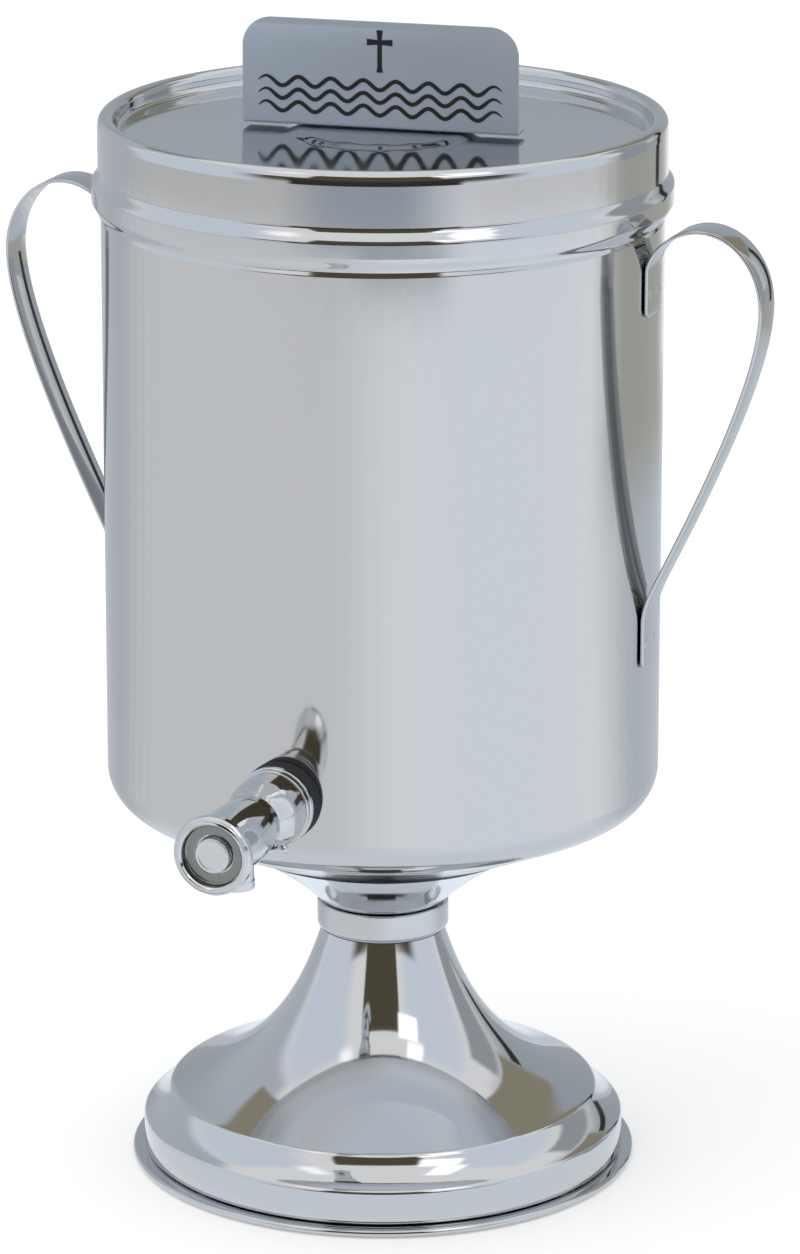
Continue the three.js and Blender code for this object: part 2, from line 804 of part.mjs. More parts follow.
function makeValveParts() {

	const sealPocket = stemBore + stemSeal.wire * 2 + seatGap;
	const sealHeight = glandStart + gland.thickness - gland.sealDepth;
	const glandProfile = [
		[ stemBore, glandStart ],
		[ faucet.glandBore - seatGap, glandStart ],
		[ faucet.glandBore - seatGap, glandStart + gland.thickness ],
		[ sealPocket, glandStart + gland.thickness ],
		[ sealPocket, sealHeight - seatGap ],
		[ stemBore, sealHeight - seatGap ],
	];
	const sealCentre = sealHeight + stemSeal.wire;
	const sealEnd = 360 - 360 / facets.seal;
	const sealProfile = arc( stemBore + stemSeal.wire, sealCentre, stemSeal.wire, 0, sealEnd, facets.seal - 1 );
	const seatTop = springSeatStart + springSeat.thickness;
	const seatRadius = faucet.glandBore - seatGap;
	return [
		toMesh( 'packing_gland', turned( glandProfile, facets.small ), brass ),
		toMesh( 'stem_seal', turned( sealProfile, facets.tiny ), rubber ),
		toMesh( 'spring_seat', ring( stemBore, seatRadius, springSeatStart, seatTop, facets.small ), steel ),
	];

}

function makeBezel() {

	const rimStart = bezel.front - bezel.rimLength;
	const round = bezel.rimRound;
	const profile = [
		[ bezelBore, bezelSpigotStart ],
		[ bezelSpigot, bezelSpigotStart ],
		[ bezelSpigot, bezelBack ],
		[ faucet.barrelLipRadius, bezelBack ],
		[ bezel.backRadius, bezelBack + round ],
		[ bezel.radius, rimStart ],
		...arc( bezel.radius - round, bezel.front - round, round, 0, 90, 3 ),
		[ bezel.mouthRadius + round / 2, bezel.front ],
		[ bezel.mouthRadius, bezel.front - round / 2 ],
		[ bezel.mouthRadius, bezelFloor ],
		[ bezel.floorRadius, bezelFloor ],
		[ bezel.floorRadius, bezelFloor - bezel.floorStep ],
		[ bezelBore, bezelFloor - bezel.floorStep ],
	];
	return toMesh( 'faucet_bezel', turned( profile, facets.small ), polished );

}

function makeButton() {

	const skirtEnd = buttonFront - button.length;
	const round = button.edgeRound;
	const pocket = button.radius - button.skirt;
	const profile = [
		[ 0, buttonFront ],
		...arc( button.radius - round, buttonFront - round, round, 90, 0, 3 ),
		[ button.radius, skirtEnd ],
		[ pocket, skirtEnd ],
		[ pocket, buttonPocket ],
		[ 0, buttonPocket ],
	];
	return toMesh( 'push_button', turned( profile, facets.small ), steel );

}

function makeStem() {

	const foot = retainerBack - stem.footTail;
	const stemTop = buttonPocket - seatGap;
	return [
		toMesh( 'valve_stem', rod( stem.radius, foot, stemTop, facets.tiny ), brass ),
		toMesh( 'valve_disc', ring( stemBore, disc.radius, discBack, discFront, facets.small ), rubber ),
		toMesh( 'valve_retainer', ring( stemBore, retainer.radius, retainerBack, retainerFront, facets.tiny ), brass ),
	];

}

function makeSpring() {

	const steps = spring.turns * spring.stepsPerTurn;
	const low = springStart + spring.wire;
	const high = springEnd - spring.wire;
	const places = [];
	const corners = [];

	for ( let i = 0; i <= steps; i ++ ) {

		const angle = i / spring.stepsPerTurn * Math.PI * 2;
		const height = THREE.MathUtils.lerp( low, high, i / steps );

		for ( let j = 0; j < spring.wireSides; j ++ ) {

			const around = j / spring.wireSides * Math.PI * 2;
			const radius = spring.meanRadius + spring.wire * Math.cos( around );
			places.push( radius * Math.cos( angle ), radius * Math.sin( angle ), height + spring.wire * Math.sin( around ) );

		}

	}

	for ( let i = 0; i < steps; i ++ ) {

		for ( let j = 0; j < spring.wireSides; j ++ ) {

			const next = ( j + 1 ) % spring.wireSides;
			const [ a, b ] = [ i * spring.wireSides + j, i * spring.wireSides + next ];
			const [ c, d ] = [ a + spring.wireSides, b + spring.wireSides ];
			corners.push( a, b, d, a, d, c );

		}

	}

	for ( let j = 1; j < spring.wireSides - 1; j ++ ) {

		const last = steps * spring.wireSides;
		corners.push( 0, j + 1, j );
		corners.push( last, last + j, last + j + 1 );

	}

	const pitch = ( high - low ) / spring.turns;
	console.log( `return_spring: least gap between turns ${ ( pitch - 2 * spring.wire ).toFixed( 2 ) } mm` );
	const geometry = new THREE.BufferGeometry();
	geometry.setAttribute( 'position', new THREE.Float32BufferAttribute( places, 3 ) );
	geometry.setIndex( corners );
	return toMesh( 'return_spring', toSolid( geometry ), steel );

}

function makeFaucetMounting() {

	const wallOutside = toSolid( new THREE.CylinderGeometry(
		tank.radius + seatGap, tank.radius + seatGap, tank.radius, facets.large * 2,
	) ).translate( [ 0, 0, - tank.radius ] );
	const wallInside = toSolid( new THREE.CylinderGeometry(
		tank.radius - tank.gauge - seatGap, tank.radius - tank.gauge - seatGap, tank.radius, facets.large * 2,
	) ).translate( [ 0, 0, - tank.radius ] );
	const outerFront = faucet.flangeStart - seatGap;
	const outer = ring( shankBore, outerGasket.radius, - cutOverrun, outerFront, facets.small ).subtract( wallOutside );
	const inner = ring( shankBore, innerGasket.radius, innerGasketBack, innerGasketFront + cutOverrun, facets.small )
		.intersect( wallInside );
	return [
		toMesh( 'outer_gasket', outer, rubber ),
		toMesh( 'inner_gasket', inner, rubber ),
		toMesh( 'shank_washer', ring( shankBore, shankWasher.radius, washerBack, washerFront, facets.small ), steel ),
		toMesh( 'shank_nut', hexNut( shankNut.acrossFlats, shankBore, nutFront - shankNut.thickness, nutFront ), brass ),
	];

}

// Assembly

const urn = new THREE.Group();
urn.add( makeFelt(), makeBasePlate(), makePedestalBase(), makeCollar(), makeCup(), ...makeTie(), makeTank() );

const rightHandle = makeHandle( 'handle_right' );
const leftHandle = makeHandle( 'handle_left' );
leftHandle.rotation.z = Math.PI;
urn.add( rightHandle, leftHandle );

const tap = new THREE.Group();
tap.position.set( 0, - tank.radius, tapHeight );
tap.rotation.x = Math.PI / 2;
tap.add( makeFaucetBody(), makeSpout(), ...makeFaucetMounting(), ...makeValveParts() );
tap.add( makeBezel(), makeButton(), ...makeStem(), makeSpring() );
urn.add( tap );

const cover = new THREE.Group();
cover.rotation.z = THREE.MathUtils.degToRad( lid.turnDegrees );
cover.add( makeLid(), makeSign(), ...makeSignFastener( - 1, 'left' ), ...makeSignFastener( 1, 'right' ) );
urn.add( cover );

export default urn;
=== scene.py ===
"""Dresses the holy water urn: smooth metal shells, the tap, the sign and the studio around them.

Sizes are in millimetres unless a name says otherwise, and every mesh is made in metres in the
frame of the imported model: +Z up, the tap along -Y, the handles on the X axis.
"""

from __future__ import annotations

import logging
import math
from dataclasses import dataclass, field
from enum import Enum
from typing import Callable, Sequence

import bmesh
import bpy
from mathutils import Matrix, Vector

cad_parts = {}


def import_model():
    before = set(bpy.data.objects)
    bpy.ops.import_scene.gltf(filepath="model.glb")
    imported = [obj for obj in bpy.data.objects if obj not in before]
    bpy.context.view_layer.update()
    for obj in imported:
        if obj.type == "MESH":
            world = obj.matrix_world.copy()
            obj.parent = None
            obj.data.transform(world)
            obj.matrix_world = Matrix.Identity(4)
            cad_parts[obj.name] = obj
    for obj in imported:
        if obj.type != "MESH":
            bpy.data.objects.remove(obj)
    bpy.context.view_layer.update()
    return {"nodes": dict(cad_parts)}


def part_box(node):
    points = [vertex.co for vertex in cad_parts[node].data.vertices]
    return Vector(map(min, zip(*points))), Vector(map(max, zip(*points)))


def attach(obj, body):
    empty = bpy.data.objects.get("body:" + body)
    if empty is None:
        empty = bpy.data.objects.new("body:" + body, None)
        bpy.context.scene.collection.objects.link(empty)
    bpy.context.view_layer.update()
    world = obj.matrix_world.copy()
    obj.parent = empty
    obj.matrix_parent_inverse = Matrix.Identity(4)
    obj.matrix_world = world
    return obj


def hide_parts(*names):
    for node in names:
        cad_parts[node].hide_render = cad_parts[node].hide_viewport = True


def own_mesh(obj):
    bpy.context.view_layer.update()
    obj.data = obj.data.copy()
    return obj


LOG = logging.getLogger("urn")

MM = 0.001
FULL_TURN = 2 * math.pi

Point = tuple[float, float]
Triple = tuple[float, float, float]
Colour = Triple
Socket = bpy.types.NodeSocket
Inputs = dict[str | int, object]


class Smoothness(Enum):
    """How finely a turned piece is divided round its axis."""

    LARGE = 192
    MEDIUM = 128
    SMALL = 72


class Axis(Enum):
    """The line a turned piece is turned about, as an index into X, Y and Z."""

    ALONG_TAP = 1
    UPRIGHT = 2


# Outlines


def arc(centre: Point, radius: float, start: float, end: float, steps: int = 10) -> list[Point]:
    """Points on an arc.

    Args:
        centre: Centre of the arc.
        radius: Its radius.
        start: First angle in degrees.
        end: Last angle in degrees.
        steps: Number of stretches.

    Returns:
        The points, both ends included.
    """
    angles = [math.radians(start + (end - start) * i / steps) for i in range(steps + 1)]
    return [(centre[0] + radius * math.cos(a), centre[1] + radius * math.sin(a)) for a in angles]


def bezier(controls: Sequence[Point], steps: int = 16) -> list[Point]:
    """Points on a Bezier curve of any degree.

    Args:
        controls: The control points.
        steps: Number of stretches.

    Returns:
        The points, both ends included.
    """
    points = []
    for i in range(steps + 1):
        t = i / steps
        level = [Vector(c) for c in controls]
        while len(level) > 1:
            level = [a.lerp(b, t) for a, b in zip(level, level[1:])]
        points.append((level[0].x, level[0].y))
    return points


def through(points: Sequence[Point], steps: int = 6) -> list[Point]:
    """A smooth line through the points, which keeps both ends.

    Args:
        points: The points to pass through.
        steps: Number of stretches between two points.

    Returns:
        The points of the smooth line.
    """
    knots = [Vector(p) for p in (points[0], *points, points[-1])]
    smooth = []
    for before, a, b, after in zip(knots, knots[1:], knots[2:], knots[3:]):
        leave, arrive = (b - before) / 2, (after - a) / 2
        for i in range(steps):
            t = i / steps
            p = (
                a * (2 * t**3 - 3 * t**2 + 1)
                + leave * (t**3 - 2 * t**2 + t)
                + b * (3 * t**2 - 2 * t**3)
                + arrive * (t**3 - t**2)
            )
            smooth.append((p.x, p.y))
    smooth.append(tuple(points[-1]))
    return smooth


def rounded(corners: Sequence[Triple], steps: int = 4) -> list[Point]:
    """An open line whose corners are rounded.

    Args:
        corners: Each corner's two coordinates and the radius of its round; the ends stay sharp.
        steps: Number of stretches in each round.

    Returns:
        The points of the line.
    """
    line = [tuple(corners[0][:2])]
    for before, corner, after in zip(corners, corners[1:], corners[2:]):
        here = Vector(corner[:2])
        back, ahead = Vector(before[:2]) - here, Vector(after[:2]) - here
        opening = back.angle(ahead)
        if corner[2] <= 0 or opening > math.pi - 1e-3:
            line.append(tuple(here))
            continue
        reach = corner[2] / math.tan(opening / 2)
        reach = min(reach, back.length / 2, ahead.length / 2)
        start = here + back.normalized() * reach
        end = here + ahead.normalized() * reach
        line.extend(bezier([tuple(start), tuple(here), tuple(end)], steps))
    line.append(tuple(corners[-1][:2]))
    return line


def eased(before: Sequence[Point], after: Sequence[Point], reach: float, steps: int = 5) -> list[Point]:
    """Joins two lines that share a corner, with a small round there.

    Args:
        before: The first line, which ends at the corner.
        after: The second line, which starts at it.
        reach: How far the round reaches along both.
        steps: Number of stretches of the round.

    Returns:
        The joined line.
    """
    corner = Vector(after[0])
    leave, arrive = (corner + (Vector(p) - corner).normalized() * reach for p in (before[-2], after[1]))
    kept, following = ([p for p in line if (Vector(p) - corner).length > reach] for line in (before, after))
    return kept + bezier([leave, corner, arrive], steps) + following


def shifted(points: Sequence[Point], distance: float) -> list[Point]:
    """The same line, moved sideways to its left.

    Args:
        points: The line.
        distance: How far it moves.

    Returns:
        The moved line.
    """
    moved = []
    for i, (x, y) in enumerate(points):
        back, ahead = points[max(i - 1, 0)], points[min(i + 1, len(points) - 1)]
        along = (Vector(ahead) - Vector(back)).normalized()
        moved.append((x - along.y * distance, y + along.x * distance))
    return moved


# Meshes


def mesh_from(name: str, places: Sequence[Sequence[float]], faces: Sequence[Sequence[int]]) -> bpy.types.Mesh:
    """A closed, smooth-shaded mesh whose faces point out.

    Args:
        name: The mesh's name.
        places: Its points in metres.
        faces: Its faces, as lists of point numbers.

    Returns:
        The new mesh.
    """
    mesh = bpy.data.meshes.new(name)
    mesh.from_pydata([tuple(p) for p in places], [], [tuple(f) for f in faces])
    work = bmesh.new()
    work.from_mesh(mesh)
    bmesh.ops.remove_doubles(work, verts=work.verts, dist=1e-7)
    bmesh.ops.recalc_face_normals(work, faces=work.faces)
    work.to_mesh(mesh)
    work.free()
    return smooth_shaded(mesh)


def smooth_shaded(mesh: bpy.types.Mesh, sharp_degrees: float = 32) -> bpy.types.Mesh:
    """Shades a mesh smooth, but for its sharp edges.

    Args:
        mesh: The mesh.
        sharp_degrees: The angle from which an edge stays sharp.

    Returns:
        The same mesh.
    """
    mesh.shade_smooth()
    mesh.set_sharp_from_angle(angle=math.radians(sharp_degrees))
    return mesh


def turned(
    name: str,
    outline: Sequence[Point],
    smoothness: Smoothness = Smoothness.LARGE,
    place: Matrix = Matrix.Identity(4),
) -> bpy.types.Mesh:
    """A piece turned about the Z axis, closed on itself or on the axis.

    Args:
        name: The mesh's name.
        outline: Points of radius and height in millimetres.
        smoothness: How finely it is divided.
        place: A matrix in metres that moves the finished piece.

    Returns:
        The new mesh.
    """
    count = smoothness.value
    ends_on_axis = outline[0][0] == 0 and outline[-1][0] == 0
    places: list[Vector] = []
    rings: list[list[int]] = []
    for radius, height in outline:
        if radius == 0:
            rings.append([len(places)] * count)
            places.append(Vector((0, 0, height * MM)))
            continue
        rings.append(list(range(len(places), len(places) + count)))
        for i in range(count):
            angle = FULL_TURN * i / count
            places.append(Vector((radius * math.cos(angle), radius * math.sin(angle), height)) * MM)
    pairs = list(zip(rings, rings[1:]))
    if not ends_on_axis:
        pairs.append((rings[-1], rings[0]))
    faces = []
    for low, high in pairs:
        for i in range(count):
            j = (i + 1) % count
            face = list(dict.fromkeys((low[i], low[j], high[j], high[i])))
            if len(face) > 2:
                faces.append(face)
    return mesh_from(name, [place @ p for p in places], faces)


def swept(name: str, sections: Sequence[Sequence[Vector]]) -> bpy.types.Mesh:
    """A closed bar through a row of like sections.

    Args:
        name: The mesh's name.
        sections: Each section's points in millimetres, all in the same order.

    Returns:
        The new mesh.
    """
    sides = len(sections[0])
    places = [p * MM for section in sections for p in section]
    faces: list[list[int]] = [list(range(sides)), list(range(len(places) - sides, len(places)))]
    for k in range(len(sections) - 1):
        for i in range(sides):
            j = (i + 1) % sides
            faces.append([k * sides + i, k * sides + j, (k + 1) * sides + j, (k + 1) * sides + i])
    return mesh_from(name, places, faces)


def slab(name: str, outline: Sequence[Point], back: float, front: float) -> bpy.types.Mesh:
    """A flat piece with an outline in X and Z, between two depths along Y, all in millimetres."""
    return swept(name, [[Vector((x, depth, z)) for x, z in outline] for depth in (back, front)])


def strip_section(
    centre: Vector, along: Vector, out: Vector, half: Point, edge_round: float, steps: int = 3
) -> list[Vector]:
    """A flat strip's section at one place, with rounded edges.

    Args:
        centre: The place on the strip's middle line.
        along: The direction of its width.
        out: The direction of its thickness.
        half: Half of its width and half of its thickness.
        edge_round: The radius of its edges.
        steps: Number of stretches in each round.

    Returns:
        The section's points.
    """
    x, y = (size - edge_round for size in half)
    points = []
    for corner, start in (((x, y), 0), ((-x, y), 90), ((-x, -y), 180), ((x, -y), 270)):
        for across, thick in arc(corner, edge_round, start, start + 90, steps):
            points.append(centre + along * across + out * thick)
    return points


def cut(mesh: bpy.types.Mesh, tool: bpy.types.Mesh, join: bool = False) -> bpy.types.Mesh:
    """Cuts one mesh by another, or joins them.

    Args:
        mesh: The mesh that is cut.
        tool: The mesh that cuts it.
        join: Whether the two are joined instead.

    Returns:
        The new mesh.
    """
    body = bpy.data.objects.new("cut_body", mesh)
    cutter = bpy.data.objects.new("cut_tool", tool)
    for item in (body, cutter):
        bpy.context.scene.collection.objects.link(item)
    step = body.modifiers.new("cut", "BOOLEAN")
    step.operation = "UNION" if join else "DIFFERENCE"
    step.solver = "EXACT"
    step.object = cutter
    bpy.context.view_layer.update()
    done = bpy.data.meshes.new_from_object(body.evaluated_get(bpy.context.evaluated_depsgraph_get()))
    done.name = mesh.name
    for item in (body, cutter):
        bpy.data.objects.remove(item)
    return smooth_shaded(done)


# Materials


def linear(red: int, green: int, blue: int) -> Colour:
    """A colour given in display values from 0 to 255, as the shader's linear values."""
    shares = (red / 255, green / 255, blue / 255)
    return tuple(c / 12.92 if c <= 0.04045 else ((c + 0.055) / 1.055) ** 2.4 for c in shares)


def toned(colour: Colour, share: float) -> Colour:
    """The same colour, paler or darker."""
    return tuple(c * share for c in colour)


class Graph:
    """A material's or group's node tree, with short ways to add and join nodes."""

    def __init__(self, tree: bpy.types.NodeTree) -> None:
        """Takes the tree to add to."""
        self.tree = tree

    def fill(self, node: bpy.types.Node, inputs: Inputs) -> bpy.types.Node:
        """Sets a node's inputs, or joins them to other nodes.

        Args:
            node: The node.
            inputs: Values or sockets by input name or number.

        Returns:
            The same node.
        """
        for key, value in inputs.items():
            if isinstance(value, Socket):
                self.tree.links.new(value, node.inputs[key])
            else:
                node.inputs[key].default_value = value
        return node

    def add(self, kind: str, inputs: Inputs | None = None, **settings: object) -> bpy.types.Node:
        """Adds a node.

        Args:
            kind: The node's type without its prefix.
            inputs: Values or sockets by input name or number.
            **settings: The node's own settings.

        Returns:
            The new node.
        """
        node = self.tree.nodes.new("ShaderNode" + kind)
        for key, value in settings.items():
            setattr(node, key, value)
        return self.fill(node, inputs or {})

    def place(self) -> Socket:
        """The surface's place in the object's own space."""
        return self.add("TexCoord").outputs["Object"]

    def along(self, place: Socket, axis: Axis) -> Socket:
        """The part of a place along one axis."""
        return self.add("SeparateXYZ", {0: place}).outputs[axis.value]

    def math(self, operation: str, *values: object) -> Socket:
        """Adds a math node of numbers or sockets and returns its value."""
        return self.add("Math", dict(enumerate(values)), operation=operation).outputs[0]

    def spread(self, value: Socket, low: float, high: float) -> Socket:
        """Maps a value that runs from 0 to 1 onto low to high."""
        return self.add("MapRange", {"Value": value, "To Min": low, "To Max": high}).outputs[0]

    def noise(self, place: Socket, scale: float | Socket, detail: float) -> Socket:
        """Adds a noise and returns its value."""
        return self.add("TexNoise", {"Vector": place, "Scale": scale, "Detail": detail}).outputs[0]

    def mixed(self, share: Socket, first: Colour, second: Colour) -> Socket:
        """Mixes two colours by a share of the second."""
        return self.add("Mix", {0: share, 6: (*first, 1), 7: (*second, 1)}, data_type="RGBA").outputs[2]

    def bump(self, height: Socket, depth: float) -> Socket:
        """The normal of a height whose full size is the depth in millimetres."""
        return self.add("Bump", {"Height": height, "Distance": depth * MM, "Strength": 1.0}).outputs[0]


def effect_group(
    name: str,
    inputs: dict[str, float],
    outputs: Sequence[str],
    fill: Callable[[Graph, dict[str, Socket]], dict[str, Socket]],
) -> bpy.types.NodeTree:
    """A shader node group, made once and then shared.

    Args:
        name: The group's name.
        inputs: Its number inputs and their usual values. It also takes a Vector.
        outputs: The names of its number outputs.
        fill: Builds the group's nodes and returns the socket behind each output.

    Returns:
        The group.
    """
    if name in bpy.data.node_groups:
        return bpy.data.node_groups[name]
    tree = bpy.data.node_groups.new(name, "ShaderNodeTree")
    tree.interface.new_socket("Vector", in_out="INPUT", socket_type="NodeSocketVector")
    for title, usual in inputs.items():
        socket = tree.interface.new_socket(title, in_out="INPUT", socket_type="NodeSocketFloat")
        socket.default_value = usual
    for title in outputs:
        tree.interface.new_socket(title, in_out="OUTPUT", socket_type="NodeSocketFloat")
    entry, leave = tree.nodes.new("NodeGroupInput"), tree.nodes.new("NodeGroupOutput")
    graph = Graph(tree)
    graph.fill(leave, fill(graph, {socket.name: socket for socket in entry.outputs if socket.name}))
    return tree


def polish_marks() -> bpy.types.NodeTree:
    """Slow waves in sheet metal and faint wipe marks, as a roughness and a height.

    Returns:
        The node group.
    """

    def fill(graph: Graph, given: dict[str, Socket]) -> dict[str, Socket]:
        """Builds the nodes inside the group.

        Args:
            graph: The group's nodes.
            given: Its inputs.

        Returns:
            The sockets behind its outputs.
        """
        at = given["Vector"]
        waves = graph.noise(at, given["Wave scale"], 1.0)
        stretch = graph.add("Mapping", {"Vector": at, "Rotation": (0.5, 0.3, 0.9), "Scale": (260, 30, 90)})
        wipes = graph.noise(stretch.outputs[0], scale=1.0, detail=5.0)
        smear = graph.math("MULTIPLY", wipes, graph.noise(at, scale=24.0, detail=4.0))
        rough = graph.math("MULTIPLY_ADD", smear, given["Wipe amount"], given["Roughness"])
        tall = graph.math("MULTIPLY", waves, given["Wave height"])
        height = graph.math("MULTIPLY_ADD", wipes, given["Wipe height"], tall)
        return {"Roughness": rough, "Height": height}

    usual = {
        "Roughness": 0.04,
        "Wave scale": 22.0,
        "Wave height": 1.0,
        "Wipe amount": 0.08,
        "Wipe height": 0.02,
    }
    return effect_group("polish_marks", usual, ("Roughness", "Height"), fill)


def turning_lines() -> bpy.types.NodeTree:
    """The fine lines that a cutter or a pad leaves round a turned piece, as a height and a mask.

    Returns:
        The node group.
    """

    def fill(graph: Graph, given: dict[str, Socket]) -> dict[str, Socket]:
        """Builds the nodes inside the group.

        Args:
            graph: The group's nodes.
            given: Its inputs.

        Returns:
            The sockets behind its outputs.
        """
        place = graph.math("MULTIPLY", given["Along"], given["Lines per metre"])
        lines = {"W": place, "Detail": 6.0, "Roughness": 0.75}
        fine = graph.add("TexNoise", lines, noise_dimensions="1D").outputs[0]
        patch = graph.noise(given["Vector"], scale=9.0, detail=2.0)
        return {"Height": graph.math("MULTIPLY", fine, graph.spread(patch, 0.6, 1.2)), "Mask": fine}

    return effect_group("turning_lines", {"Along": 0.0, "Lines per metre": 900.0}, ("Height", "Mask"), fill)


class Finish:
    """A surface finish that can build its own material."""

    name: str

    def build(self) -> bpy.types.Material:
        """Makes the material once.

        Returns:
            The finish's material.
        """
        if self.name in bpy.data.materials:
            return bpy.data.materials[self.name]
        material = bpy.data.materials.new(self.name)
        material.use_nodes = True
        graph = Graph(material.node_tree)
        graph.fill(material.node_tree.nodes["Principled BSDF"], self.dress(graph))
        return material

    def dress(self, graph: Graph) -> Inputs:
        """The shader's inputs, some of them from nodes that vary them over the surface."""
        raise NotImplementedError


@dataclass(frozen=True)
class PolishedMetal(Finish):
    """Polished sheet or plate: a clear mirror with slow waves and faint wipe marks, and, where one is given,
    a paler painted light colour below a set height.
    """

    name: str = "polished_stainless"
    colour: Colour = (0.60, 0.605, 0.615)
    roughness: float = 0.035
    wipe_amount: float = 0.10
    wave_scale: float = 18.0
    wave_depth: float = 0.03
    lines: float = 0.0
    painted_light_colour: Colour | None = None
    painted_light_top: float = 0.0
    painted_light_fade: float = 4.0

    def dress(self, graph: Graph) -> Inputs:
        """Builds the mirror from the shared marks, with turning lines where the piece has them, and the
        painted light colour below its top where one is given.

        Args:
            graph: The material's nodes.

        Returns:
            The shader's inputs.
        """
        at = graph.place()
        colour: object = (*self.colour, 1)
        # painted light: the steel turns paler below the given height, standing in for light that the piece's
        # lower side picks up
        if self.painted_light_colour:
            ends = {"From Min": (self.painted_light_top - self.painted_light_fade) * MM, "From Max": self.painted_light_top * MM}
            share = graph.add("MapRange", {"Value": graph.along(at, Axis.UPRIGHT), **ends}).outputs[0]
            colour = graph.mixed(share, self.painted_light_colour, self.colour)
        given = {
            "Vector": at,
            "Roughness": self.roughness,
            "Wipe amount": self.wipe_amount,
            "Wave scale": self.wave_scale,
        }
        marks = graph.add("Group", given, node_tree=polish_marks()).outputs
        height = marks["Height"]
        if self.lines > 0:
            given = {"Vector": at, "Along": graph.along(at, Axis.UPRIGHT)}
            rings = graph.add("Group", given, node_tree=turning_lines()).outputs
            height = graph.math("MULTIPLY_ADD", rings["Height"], self.lines, height)
        normal = graph.bump(height, self.wave_depth)
        return {"Base Color": colour, "Metallic": 1.0, "Roughness": marks["Roughness"], "Normal": normal}


@dataclass(frozen=True)
class SatinSheet(Finish):
    """Rolled sheet with a straight grain along the sign."""

    name: str = "satin_sheet"
    colour: Colour = linear(166, 177, 190)
    roughness: float = 0.42
    metallic: float = 0.3
    grain_depth: float = 0.004

    def dress(self, graph: Graph) -> Inputs:
        """Builds a long grain that varies colour, roughness and height a little.

        Args:
            graph: The material's nodes.

        Returns:
            The shader's inputs.
        """
        at = graph.place()
        stretch = graph.add("Mapping", {"Vector": at, "Scale": (18, 400, 1600)})
        grain = graph.noise(stretch.outputs[0], scale=1.0, detail=4.0)
        patch = graph.noise(at, scale=30.0, detail=3.0)
        return {
            "Base Color": graph.mixed(patch, toned(self.colour, 0.93), self.colour),
            "Roughness": graph.spread(grain, self.roughness - 0.06, self.roughness + 0.08),
            "Metallic": self.metallic,
            "Normal": graph.bump(grain, self.grain_depth),
        }


@dataclass(frozen=True)
class MachinedMetal(Finish):
    """Turned or plated hardware: fine cutter lines and a soft shine."""

    name: str
    colour: Colour
    roughness: float = 0.28
    axis: Axis = Axis.UPRIGHT
    lines_per_metre: float = 2600.0

    def dress(self, graph: Graph) -> Inputs:
        """Builds the cutter lines and a slightly uneven plating colour.

        Args:
            graph: The material's nodes.

        Returns:
            The shader's inputs.
        """
        at = graph.place()
        given = {"Vector": at, "Along": graph.along(at, self.axis), "Lines per metre": self.lines_per_metre}
        rings = graph.add("Group", given, node_tree=turning_lines()).outputs
        patch = graph.noise(at, scale=160.0, detail=4.0)
        return {
            "Base Color": graph.mixed(patch, toned(self.colour, 0.8), self.colour),
            "Roughness": graph.spread(rings["Mask"], self.roughness - 0.08, self.roughness + 0.12),
            "Metallic": 1.0,
            "Normal": graph.bump(rings["Height"], 0.02),
        }


@dataclass(frozen=True)
class BlackRubber(Finish):
    """Moulded black rubber with a fine matt skin."""

    name: str = "black_rubber"
    colour: Colour = (0.007, 0.007, 0.007)

    def dress(self, graph: Graph) -> Inputs:
        """Builds the matt skin and a little grey bloom.

        Args:
            graph: The material's nodes.

        Returns:
            The shader's inputs.
        """
        at = graph.place()
        bloom = graph.noise(at, scale=90.0, detail=4.0)
        return {
            "Base Color": graph.mixed(bloom, self.colour, toned(self.colour, 1.6)),
            "Roughness": graph.spread(bloom, 0.32, 0.55),
            "Specular IOR Level": 0.3,
            "Normal": graph.bump(graph.noise(at, scale=900.0, detail=3.0), 0.03),
        }


@dataclass(frozen=True)
class BlackEnamel(Finish):
    """Black paint in the sign's figures."""

    name: str = "black_enamel"
    colour: Colour = (0.006, 0.006, 0.007)
    pale: Colour = (0.016, 0.015, 0.015)

    def dress(self, graph: Graph) -> Inputs:
        """Builds a hard black paint that is slightly uneven.

        Args:
            graph: The material's nodes.

        Returns:
            The shader's inputs.
        """
        flow = graph.noise(graph.place(), scale=420.0, detail=3.0)
        return {
            "Base Color": graph.mixed(flow, self.colour, self.pale),
            "Roughness": graph.spread(flow, 0.28, 0.45),
            "Normal": graph.bump(flow, 0.01),
        }


@dataclass(frozen=True)
class GreenFelt(Finish):
    """Pressed felt: dark green, with short fibres that catch the light."""

    name: str = "green_felt"
    colour: Colour = (0.018, 0.045, 0.030)

    def dress(self, graph: Graph) -> Inputs:
        """Builds the fibres' colour and height, and a soft sheen.

        Args:
            graph: The material's nodes.

        Returns:
            The shader's inputs.
        """
        at = graph.place()
        fibre = graph.noise(at, scale=1500.0, detail=5.0)
        tufts = graph.math("MULTIPLY", fibre, graph.noise(at, scale=60.0, detail=3.0))
        return {
            "Base Color": graph.mixed(tufts, self.colour, toned(self.colour, 3)),
            "Roughness": 0.95,
            "Sheen Weight": 0.3,
            "Normal": graph.bump(fibre, 0.25),
        }


